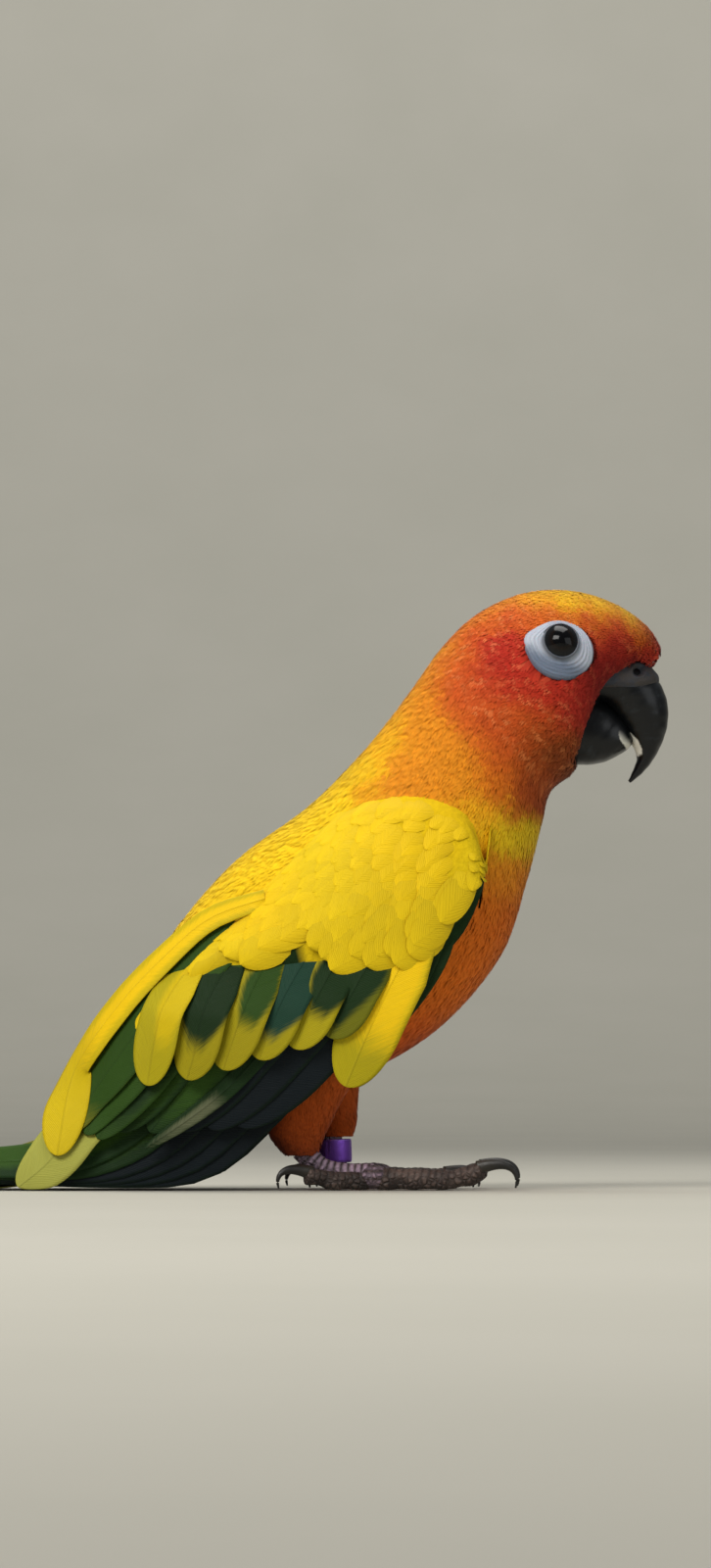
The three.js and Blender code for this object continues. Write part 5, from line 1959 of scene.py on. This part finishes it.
@dataclass
class Tail:
    """Twelve long feathers in a flat stack on the floor, with coverts over their roots."""

    bench: Bench
    pairs: int = 6
    root: Pair = (-44, 9.5)
    middle_tip: float = -172
    outer_tip: float = -100
    middle_inner: float = 0.2
    outer_inner: float = 2.4
    width: float = 7.0
    step: float = 0.87
    settle: float = 26
    taper: float = 0.42
    thick: float = 0.4
    floor: float = 0.15
    numbers: int = 500
    coverts: int = 5
    covert_numbers: int = 560

    def tip(self, pair: float) -> float:
        """Where a pair's tips lie."""
        return mix(self.middle_tip, self.outer_tip, (pair / (self.pairs - 1)) ** 0.9)

    def level(self, pair: int, x: Array) -> Array:
        """A feather's height over the floor: a step for each pair that still lies under it."""
        under = sum(1 - smooth(4 - self.tip(k), 24 - self.tip(k), -x) for k in range(pair + 1, self.pairs))
        return self.thick / 2 + self.floor + self.step * under

    def feather(self, pair: int, side: int) -> Shape:
        """One tail feather.

        Args:
            pair: which pair, from the middle one down.
            side: right or left.

        Returns:
            The feather.
        """
        u = crowding(48)
        half = self.width / 2 * feather_width(u, self.taper)
        x = mix(self.root[0], self.tip(pair), u)
        settled = 1 - (1 - np.clip((self.root[0] - x) / self.settle, 0, 1)) ** 2
        z = mix(self.root[1] - 0.5 * pair, self.level(pair, x), settled)
        inner = mix(self.middle_inner, self.outer_inner, pair / (self.pairs - 1))
        centre = np.stack([x, side * (inner + half), z], -1)
        ahead = np.gradient(centre, axis=0) * [1, 0, 1]
        across = np.broadcast_to(np.array([0, float(side), 0]), centre.shape)
        normal = towards(unit(np.cross(ahead, across)), (0, 0, 1))
        paint = Paint(Hue.OLIVE, Hue.NAVY, 0.05, -0.5, 0.0, 0.6, 0.62)
        grain = own_number(self.numbers + pair, side)
        return vane(centre, across, normal, half, u, paint, grain, self.thick, 0.03)

    def covert(self, k: int, side: int) -> Shape:
        """One of the pointed feathers over the tail's root.

        Args:
            k: which one, from the middle.
            side: right or left.

        Returns:
            The feather.
        """
        share = k / (self.coverts - 1)
        u = crowding(22)
        stops = np.array([(-46, side * mix(1.2, 6.6, share), mix(14, 9.6, share)),
                          (-56, side * mix(2.4, 7.6, share), mix(8.6, 6.8, share)),
                          (mix(-84, -66, share), side * mix(3.2, 7.6, share), mix(5.8, 4.2, share))])
        centre = along_path(stops, u)
        lean = mix(0.1, 0.75, share)
        across = np.broadcast_to(np.array([0, side * math.cos(lean), -math.sin(lean)]), centre.shape)
        normal = towards(unit(np.cross(np.gradient(centre, axis=0), across)), (0, 0, 1))
        half = 3.3 * feather_width(u, 0.5)
        paint = Paint(Hue.PALE_LIME, Hue.OLIVE, 0.45, 0.5, 0.0, 0.5)
        grain = own_number(self.covert_numbers + k, side)
        return vane(centre, across, normal, half, u, paint, grain, 0.3, 0.08)

    def build(self) -> None:
        """Builds the tail."""
        sides = SIDES.values()
        feathers = [self.feather(pair, side) for side in sides for pair in range(self.pairs)]
        coverts = [self.covert(k, side) for side in sides for k in range(self.coverts)]
        shape = joined(feathers + coverts + [self.stump()])
        self.bench.place("tail_feathers", shape, VaneFinish("tail_vane").make(), "tail_feathers", ("tail",))

    def stump(self) -> Shape:
        """The fleshy root that the feathers fan from, as ellipses along x.

        Returns:
            The root.
        """
        given = ((-43.5, 8.8, 6, 9), (-52, 6.8, 5.4, 8.6), (-61, 4.8, 4, 8), (-69, 3.6, 2.8, 7),
                 (-76, 2.9, 1.2, 5.4))
        rows = between(np.array(given, float), np.linspace(0, 4, 16))
        turn = turns(26)
        rings = np.stack([np.broadcast_to(rows[:, :1], (16, 26)), rows[:, 3:] * np.cos(turn),
                          rows[:, 1:2] + rows[:, 2:3] * np.sin(turn)], -1)
        plain = np.zeros((16, 26))
        return loft(rings, {"mark": plain, "tint": np.broadcast_to(Hue.OLIVE.srgb, (16, 26, 3)),
                            "mark_tint": np.broadcast_to(Hue.OLIVE.srgb, (16, 26, 3))},
                    {"Vane": rings[..., [1, 0]] + 2.0})


# Face


@dataclass
class Face:
    """The bill, the cere, the eyes and the bare rings."""

    bench: Bench
    body: BodyForm
    upper: tuple = ((48, 100.5, 38, 92, 6.2), (53, 98.6, 42.5, 91.2, 6.5), (56.7, 94.8, 46.2, 90.2, 6.3),
                    (58.3, 91, 48, 88.2, 5.8), (58.4, 87, 49.8, 86, 4.9), (57.4, 83.4, 51.5, 83.4, 3.8),
                    (55.6, 80, 52.6, 80.6, 2.5), (53.6, 77.6, 51.9, 78.2, 1.4), (51.4, 75.8, 51, 76.2, 0.5))
    lower: tuple = ((40, 92, 33, 83, 5.6), (46, 91.6, 38.6, 79.9, 6.1), (49.6, 88.6, 42.6, 79.2, 5.9),
                    (51.4, 86, 46.4, 79.7, 5), (52, 84, 49.2, 81, 3.4), (51.6, 82.9, 50.8, 82, 1.6))
    bend: float = 0.8
    head_from: float = 13.0
    eye_place: Pair = (37.9, 101)
    eye_radius: float = 4.2
    eye_sunk: float = 2.0
    cornea: float = 0.35
    cornea_reach: float = 2.2
    opening: float = 2.8
    ring_place: Pair = (37.95, 99.55)
    ring_size: Pair = (6.5, 5.6)
    ring_depth: float = 1.4
    cere_range: Pair = (0.3, 2.3)
    cere_proud: float = 0.65
    cere_low: float = 93.4
    nostril: Pair = (52.4, 96.2)

    def section(self, table: tuple, t: Array, angle: Array, extra: Array | float = 0.0) -> Array:
        """Rings round a bill: ellipses between its ridge and its cutting edge, y = h |sin|^0.8.

        Args:
            table: ridge, edge and half width at each station.
            t: stations.
            angle: turns from the ridge.
            extra: height over the horn.

        Returns:
            The points.
        """
        s = between(np.array(table, float), t)[:, None]
        ridge, edge = s[..., :2], s[..., 2:4]
        half = (ridge - edge) / 2
        tall = np.linalg.norm(half, axis=-1)
        side_view = (ridge + edge) / 2 + half * (np.cos(angle) * (1 + extra / tall))[..., None]
        y = np.sign(np.sin(angle)) * np.abs(np.sin(angle)) ** self.bend * (s[..., 4] + extra)
        return in_space(side_view, y)

    def horn(self, table: tuple, rows: int) -> Shape:
        """One half of the bill, with faint growth ridges.

        Args:
            table: its stations.
            rows: how many rings it has.

        Returns:
            The horn.
        """
        t = np.linspace(0, len(table) - 1, rows)
        angle = np.broadcast_to(turns(64), (rows, 64))
        ridges = 0.025 * np.sin(t[:, None] * 9 + 0.8 * np.cos(angle)) * smooth(0, 1.5, t)[:, None]
        rings = self.section(table, t, angle, ridges)
        edge = 0.5 - 0.5 * np.cos(angle)
        form = np.stack([np.broadcast_to(t[:, None], angle.shape), np.abs(angle / pi - 1)], -1)
        return loft(rings, {"edge": edge}, {"Form": form})

    def cere(self) -> Shape:
        """A low saddle over the root of the bill that sinks away at its rim, with a nostril in each side.

        Returns:
            The cere.
        """
        rows, sides = 60, 120
        t = np.linspace(*self.cere_range, rows)
        angle = np.broadcast_to(turns(sides), (rows, sides))
        share = np.linspace(0, 1, rows)[:, None]
        base = self.section(self.upper, t, angle)
        low = smooth(self.cere_low - 1.2, self.cere_low + 1.2, base[..., 2])
        front = 1 - smooth(0.72, 1.0, share)
        far = np.hypot(base[..., 0] - self.nostril[0], base[..., 2] - self.nostril[1])
        dent = np.exp(-(far / 0.75) ** 2)
        lip = 0.28 * np.exp(-((far - 1.25) / 0.4) ** 2)
        proud = mix(-0.5, self.cere_proud + lip, low * front) - 1.5 * dent * low
        rings = self.section(self.upper, t, angle, proud)
        return loft(rings, {"dent": dent})

    def eye_frame(self, place: Pair, side: int) -> tuple[Array, Array]:
        """The head's surface and normal at a place in side view."""
        a, b = self.body.on_side(np.array(place[0]), np.array(place[1]), side, self.head_from)
        return self.body.frame(a, b)[:2]

    def eye(self, side: int) -> Shape:
        """The eyeball, with a cornea that stands c exp(-(r / reach)^2) over the ball at r from its axis.

        Args:
            side: right or left.

        Returns:
            The eyeball.
        """
        point, axis = self.eye_frame(self.eye_place, side)
        centre = point - axis * self.eye_sunk
        across = unit(np.cross(axis, np.array([0, 0, 1.0])))
        up = np.cross(across, axis)
        polar = np.linspace(0.02, pi - 0.02, 48)[:, None]
        turn = turns(64)[None, :]
        ring = self.eye_radius * np.sin(polar)
        front = polar < pi / 2
        bulge = self.cornea * np.exp(-(ring / self.cornea_reach) ** 2) * front
        out = self.eye_radius * np.cos(polar) + bulge
        points = (centre + (ring * np.cos(turn))[..., None] * across + (ring * np.sin(turn))[..., None] * up
                  + (out * np.ones_like(turn))[..., None] * axis)
        far = np.broadcast_to(np.where(front, ring, self.eye_radius), points.shape[:2])
        form = np.stack([far, np.abs(np.broadcast_to(turn, far.shape) / pi - 1)], -1)
        return loft(points, maps={"Form": form})

    def ring_plan(self, turn: Array, share: Array) -> Array:
        """The ring in side view, from the lid's round opening out to the leaning oval of its rim.

        Args:
            turn: angles round the eye, one for each row.
            share: shares of the way out, one for each column.

        Returns:
            The places.
        """
        rear = 1.1 * np.maximum(-np.cos(turn), 0) ** 12
        wide, tall = (self.ring_size[0] + rear) * np.cos(turn), self.ring_size[1] * np.sin(turn)
        outer = np.stack(turned(wide, tall, RING_LEAN), -1) + self.ring_place
        inner = np.stack([np.cos(turn), np.sin(turn)], -1) * self.opening + self.eye_place
        return mix(inner, outer, share[..., None])

    def ring_height(self, turn: Array, share: Array) -> Array:
        """How far the ring stands off the head at share s of the way out.

        It is a lid of 0.75 exp(-((s - 0.07) / 0.08)^2), a low mound that sinks under the coat at
        s = 1, and fine folds between them.

        Args:
            turn: angles round the eye, one for each row.
            share: shares of the way out, one for each column.

        Returns:
            The heights.
        """
        lid = 0.75 * np.exp(-((share - 0.07) / 0.08) ** 2)
        mound = 0.55 * (1 - share ** 2) - 0.45 * smooth(0.85, 1.0, share)
        folds = 0.06 * np.sin(share * 40 + 1.5 * np.sin(turn * 3))
        folded = smooth(0.15, 0.3, share) * (1 - smooth(0.8, 1, share))
        return lid + mound + folds * folded

    def ring(self, side: int) -> Shape:
        """The bare ring: a closed band from the lid's rim out to the feathers and back under the skin.

        Args:
            side: right or left.

        Returns:
            The band.
        """
        rows, out = 96, 34
        turn = turns(rows)[:, None]
        share = np.concatenate([np.linspace(0, 1, out), [1.0, 0.5, 0.0]])[None, :]
        columns = share.shape[1]
        flat = self.ring_plan(turn, share)
        a, b = self.body.on_side(flat[..., 0], flat[..., 1], side, self.head_from)
        points, normal, _, _ = self.body.frame(a, b)
        under = np.arange(columns)[None, :] >= out
        height = np.where(under, -self.ring_depth, self.ring_height(turn, share))
        points = points + normal * height[..., None]
        ahead, above = points[..., 0] - self.ring_place[0], points[..., 2] - self.ring_place[1]
        # The mask of the painted shade on the ring: 1 low and towards its rear, 0 high.
        low = smooth(1.5, -4.5, above + 0.35 * ahead)
        form = np.stack(np.broadcast_arrays(share, turn / pi), -1)
        return Shape(points.reshape(-1, 3), torus_faces(rows, columns), data={"low": low.ravel()},
                     maps={"Form": form.reshape(-1, 2)}).outward()

    def build(self) -> None:
        """Builds the face."""
        horn = BillFinish().make(self.bench.shift)
        self.bench.place("upper_bill", self.horn(self.upper, 120), horn, "bill", ("bill_upper",))
        self.bench.place("lower_bill", self.horn(self.lower, 70), horn, "bill", ("bill_lower",))
        self.bench.place("cere_skin", self.cere(), CereFinish().make(), "cere", ("cere",))
        ring, eye = RingFinish().make(), EyeFinish().make()
        for word, side in SIDES.items():
            self.bench.place(f"eyeball_{word}", self.eye(side), eye, "eye", (f"eye_{word}",))
            self.bench.place(f"bare_ring_{word}", self.ring(side), ring, "bare_ring", (f"eye_ring_{word}",))


# Legs


@dataclass(frozen=True)
class Toe:
    """A toe: its length without the claw, its heading outwards from straight ahead, its root radius."""

    name: str
    length: float
    heading: float
    radius: float
    claw: float
    lift: float


@dataclass
class Foot:
    """One scaly foot with four toes and their claws."""

    side: int
    tarsus: tuple
    base: float
    tarsus_radius: float = 1.9
    pad: float = 3.1
    pad_flat: float = 0.78
    joint: float = 5.2
    toes: tuple = (Toe("front_outer", 21, 10, 2.15, 10, 3.2), Toe("front_inner", 15.5, -17, 1.95, 7.2, 2.2),
                   Toe("hind_outer", 13.4, 160, 1.9, 9, 2.4), Toe("hind_inner", 8.6, 196, 1.7, 6.4, 1.6))

    def point(self, toe: Toe, along: Array, height: Array) -> Array:
        """Points at lengths along a toe and heights over the floor.

        Args:
            toe: the toe.
            along: lengths from the foot's middle.
            height: heights.

        Returns:
            The points.
        """
        turn = math.radians(toe.heading) * self.side
        across = self.side * TRACK + along * math.sin(turn)
        return np.stack([self.base + along * math.cos(turn), across, height], -1)

    def scutes(self, rings: Array, along: Array, top: Array, mauve: float = 0.0) -> Shape:
        """A scaled length of the foot, with what its finish reads."""
        data = {"top": top, "mauve": np.full(top.shape, mauve)}
        return loft(rings, data, {"Form": form_map(along, rings.shape[1])})

    def plates(self, along: Array, top: Array) -> Array:
        """How far the plates across the top stand out, as a share of the radius."""
        return 0.05 * np.abs(np.sin(along * pi / SCUTE_PITCH))[:, None] * top

    def toe(self, toe: Toe) -> Shape:
        """One toe: a tube with a pad under each joint and plates across its top.

        Args:
            toe: its sizes.

        Returns:
            The toe.
        """
        rows, sides = 90, 28
        share = np.linspace(0, 1, rows)
        along = mix(1.0, toe.length, share)
        pads = np.cos(along / self.joint * 2 * pi + pi)
        radius = toe.radius * (1 - 0.22 * share) * np.where(share > 0.97, 0.72, 1)
        radius *= 1 - 0.5 * smooth(0.93, 1.0, share) ** 2
        rise = np.maximum(0, along - (toe.length - 6)) / 6
        height = toe.radius * 0.88 + rise * (toe.lift - toe.radius * 0.62)
        angle = turns(sides)
        top = smooth(-0.1, 0.6, np.sin(angle))[None, :] * np.ones((rows, 1))
        shape = 1 + 0.13 * pads[:, None] * (1 - top) + 0.03 * pads[:, None] + self.plates(along, top)
        rings = tube(self.point(toe, along, height), radius, sides, 1.0, shape)
        return self.scutes(rings, along, top)

    def claw(self, toe: Toe) -> Shape:
        """One claw: an arc that rises a little from the toe, then curls down to the floor.

        Args:
            toe: the toe that it ends.

        Returns:
            The claw.
        """
        rows, sides = 34, 16
        u = np.linspace(0, 1, rows)
        root = toe.lift + toe.radius * 0.45
        bend = u * 1.95
        along = toe.length - 1.4 + toe.claw * 0.62 * np.sin(bend) + 1.2 * u
        height = root + toe.claw * 0.13 * np.sin(u * pi)
        height -= (root - 0.45) * (1 - np.cos(bend * 0.8)) / 1.01
        path = self.point(toe, along, np.maximum(height, 0.4))
        rings = tube(path, mix(1.2, 0.14, u ** 0.8), sides, 1.15)
        return loft(rings, maps={"Form": form_map(u, sides)})

    def shank(self) -> Shape:
        """The tarsus, with plates down its front.

        Returns:
            The tarsus.
        """
        rows, sides = 80, 30
        share = np.linspace(0, 1, rows)
        path = along_path(np.array([(x, self.side * TRACK, z) for x, z in self.tarsus]), share)
        along = share * 14
        angle = turns(sides)
        top = smooth(-0.2, 0.6, np.sin(angle))[None, :] * np.ones((rows, 1))
        shape = 1 + self.plates(along, top)
        rings = tube(path, self.tarsus_radius * (1 + 0.12 * np.cos(share * 2 * pi)), sides, 1.0, shape)
        return self.scutes(rings, along, top, 0.9)

    def palm(self) -> Shape:
        """The flattened ball where the toes meet.

        Returns:
            The ball.
        """
        polar = np.linspace(0.05, pi - 0.05, 24)[:, None]
        turn = turns(40)[None, :]
        flat = self.pad * self.pad_flat
        x = self.base + self.pad * np.sin(polar) * np.cos(turn)
        y = self.side * TRACK + self.pad * np.sin(polar) * np.sin(turn)
        z = np.maximum(flat * 0.98 + flat * np.cos(polar) * np.ones_like(turn), 0.05)
        return self.scutes(np.stack([x, y, z], -1), np.linspace(0, 6, 24), np.full((24, 40), 0.2), 0.5)


FEET = {
    "right": Foot(RIGHT, ((-10, 7.6), (-6.5, 4.4), (-1, 3.1), (3.2, 2.7)), 3.2),
    "left": Foot(LEFT, ((-4.5, 12.6), (-4.5, 9), (-4.1, 5.2), (-1.8, 3.1), (4.4, 2.7)), 4.4),
}


@dataclass
class LegBand:
    """The metal ring on the left leg: a rounded band with a closed seam."""

    place: Pair = (-4.1, 7.1)
    lean: float = 0.03
    inner: float = 2.6
    outer: float = 3.4
    height: float = 4.4

    def shape(self) -> Shape:
        """The band: a rounded box profile |r|^5 + |z|^5 = 1 turned about the leg, with a dent at the seam.

        Returns:
            The band.
        """
        rows, sides = 96, 32
        turn = turns(rows)[:, None]
        p = turns(sides)[None, :]
        power = 2 / 5
        cos, sin = (np.sign(f) * np.abs(f) ** power for f in (np.cos(p), np.sin(p)))
        seam = np.exp(-((turn - 4.4) / 0.035) ** 2) * 0.25
        radius = (self.inner + self.outer) / 2 + (self.outer - self.inner) / 2 * cos * (1 - seam)
        z = self.height / 2 * sin * np.ones_like(turn)
        x, y = radius * np.cos(turn), radius * np.sin(turn)
        along, up = self.place[0] + x - self.lean * z, self.place[1] + z + self.lean * x
        points = np.stack([along, TRACK + y, up], -1)
        form = np.stack([0.5 + z / self.height, np.abs(turn / pi - 1) * np.ones_like(z)], -1)
        maps = {"Form": form.reshape(-1, 2)}
        return Shape(points.reshape(-1, 3), torus_faces(rows, sides), maps=maps).outward()


@dataclass
class Legs:
    """Both feet, their claws and the band."""

    bench: Bench

    def build(self) -> None:
        """Builds the feet."""
        scale, claw = ScaleFinish().make(), ClawFinish().make()
        for word, foot in FEET.items():
            lengths = [foot.shank(), foot.palm()] + [foot.toe(toe) for toe in foot.toes]
            names = [f"toe_{toe.name}_{word}" for toe in foot.toes]
            shape = joined(lengths)
            shape.points[:, 2] = on_floor(shape.points[:, 2], 0.02, 0.6)
            self.bench.place(f"scaly_foot_{word}", shape, scale, "foot_scales", (f"foot_{word}", *names))
            claws = joined([foot.claw(toe) for toe in foot.toes])
            names = tuple(f"claw_{toe.name}_{word}" for toe in foot.toes)
            self.bench.place(f"claws_{word}", claws, claw, "claw", names)
        self.bench.place("purple_band", LegBand().shape(), BandFinish().make(), "leg_band", ("leg_band",))


# Studio


@dataclass
class Studio:
    """The floor and wall, the lights, and the camera at the photograph's angle."""

    shift: float
    distance: float = 1000.0
    height: float = 16.0
    aim: float = 75.6
    scale: float = 5.46
    pixels: int = 1600
    floor: float = 4000.0
    bend: Pair = (400.0, 3600.0)
    wall: float = 2400.0

    def metres(self, x: float, y: float, z: float) -> tuple[float, float, float]:
        """A place in the side view's millimetres as metres in the frame."""
        return ((x + self.shift) / 1000, y / 1000, z / 1000)

    def camera(self) -> None:
        """The camera: level with the feet and looking a little up, with no shift."""
        data = bpy.data.cameras.new("camera")
        rise = self.aim - self.height
        data.sensor_fit = "VERTICAL"
        data.sensor_height = 36.0
        data.lens = self.scale * math.hypot(self.distance, rise) * data.sensor_height / self.pixels
        data.clip_start = 0.01
        camera = linked("camera", data)
        camera.location = self.metres(0, -self.distance, self.height)
        camera.rotation_euler = (pi / 2 + math.atan2(rise, self.distance), 0, 0)
        bpy.context.scene.camera = camera

    def light(self, name: str, place: tuple[float, float, float], size: Pair, power: float,
              warmth: tuple[float, float, float], target: tuple[float, float, float] = (5, 0, 60)) -> None:
        """A soft rectangular light.

        Args:
            name: the light's name.
            place: where it stands.
            size: its width and height, in millimetres.
            power: its power in watts.
            warmth: its colour.
            target: where it points, usually the bird's breast.
        """
        data = bpy.data.lights.new(name, "AREA")
        data.shape = "RECTANGLE"
        data.size, data.size_y = size[0] / 1000, size[1] / 1000
        data.energy = power
        data.color = warmth
        lamp = linked(name, data)
        lamp.location = self.metres(*place)
        away = np.subtract(lamp.location, self.metres(*target))
        flat = math.hypot(away[0], away[1])
        lamp.rotation_euler = (math.atan2(flat, away[2]), 0, math.atan2(away[0], -away[1]))

    def lights(self) -> None:
        """A broad key from the upper left, a weak fill, a light above, one on the wall, and a grey world."""
        self.light("key", (-420, -620, 640), (520, 420), 7.6, (1.0, 0.97, 0.93))
        self.light("fill", (620, -500, 260), (500, 500), 1.0, (0.95, 0.98, 1.0))
        self.light("top", (60, 120, 760), (500, 400), 3.0, (1.0, 0.99, 0.97))
        self.light("wall", (0, 2000, 2400), (3600, 500), 42.0, (1.0, 0.99, 0.97), (0, 3400, 500))
        world = bpy.data.worlds.new("world")
        world.use_nodes = True
        background = world.node_tree.nodes["Background"]
        background.inputs["Color"].default_value = (0.78, 0.8, 0.82, 1)
        background.inputs["Strength"].default_value = 0.22
        bpy.context.scene.world = world
        bpy.context.scene.view_settings.view_transform = "Standard"

    def stage(self) -> None:
        """A floor that bends up into a far wall, its height growing with the sixth power of the way back."""
        back = np.linspace(0, 1, 40)
        y = np.concatenate([[-self.floor], mix(*self.bend, back)])
        z = np.concatenate([[0], self.wall * back ** 6])
        x = np.array([-self.floor, self.floor])
        points = np.stack(np.broadcast_arrays(x[None, :], y[:, None], z[:, None]), -1).reshape(-1, 3)
        mesh = bpy.data.meshes.new("stage")
        mesh.from_pydata((points / 1000).tolist(), [], sheet_faces(len(y), 2).tolist())
        mesh.shade_smooth()
        mesh.materials.append(StageFinish().make())
        floor = linked("stage", mesh)

    def build(self) -> None:
        """Sets up the studio."""
        self.camera()
        self.lights()
        self.stage()


def main() -> None:
    """Builds the bird piece by piece over the frame."""
    logging.basicConfig(level=logging.INFO, format="%(message)s")
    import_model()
    bench = Bench()
    body = BodyForm()
    Studio(bench.shift).build()
    plumage = Plumage(bench, body, Markings(COAT_DABS))
    plumage.skin()
    plumage.coats()
    Wings(bench, Cloak(body)).build()
    Tail(bench).build()
    Face(bench, body).build()
    Legs(bench).build()
    log.info("all: %d triangles", bench.count)


if __name__ == "__main__":
    main()
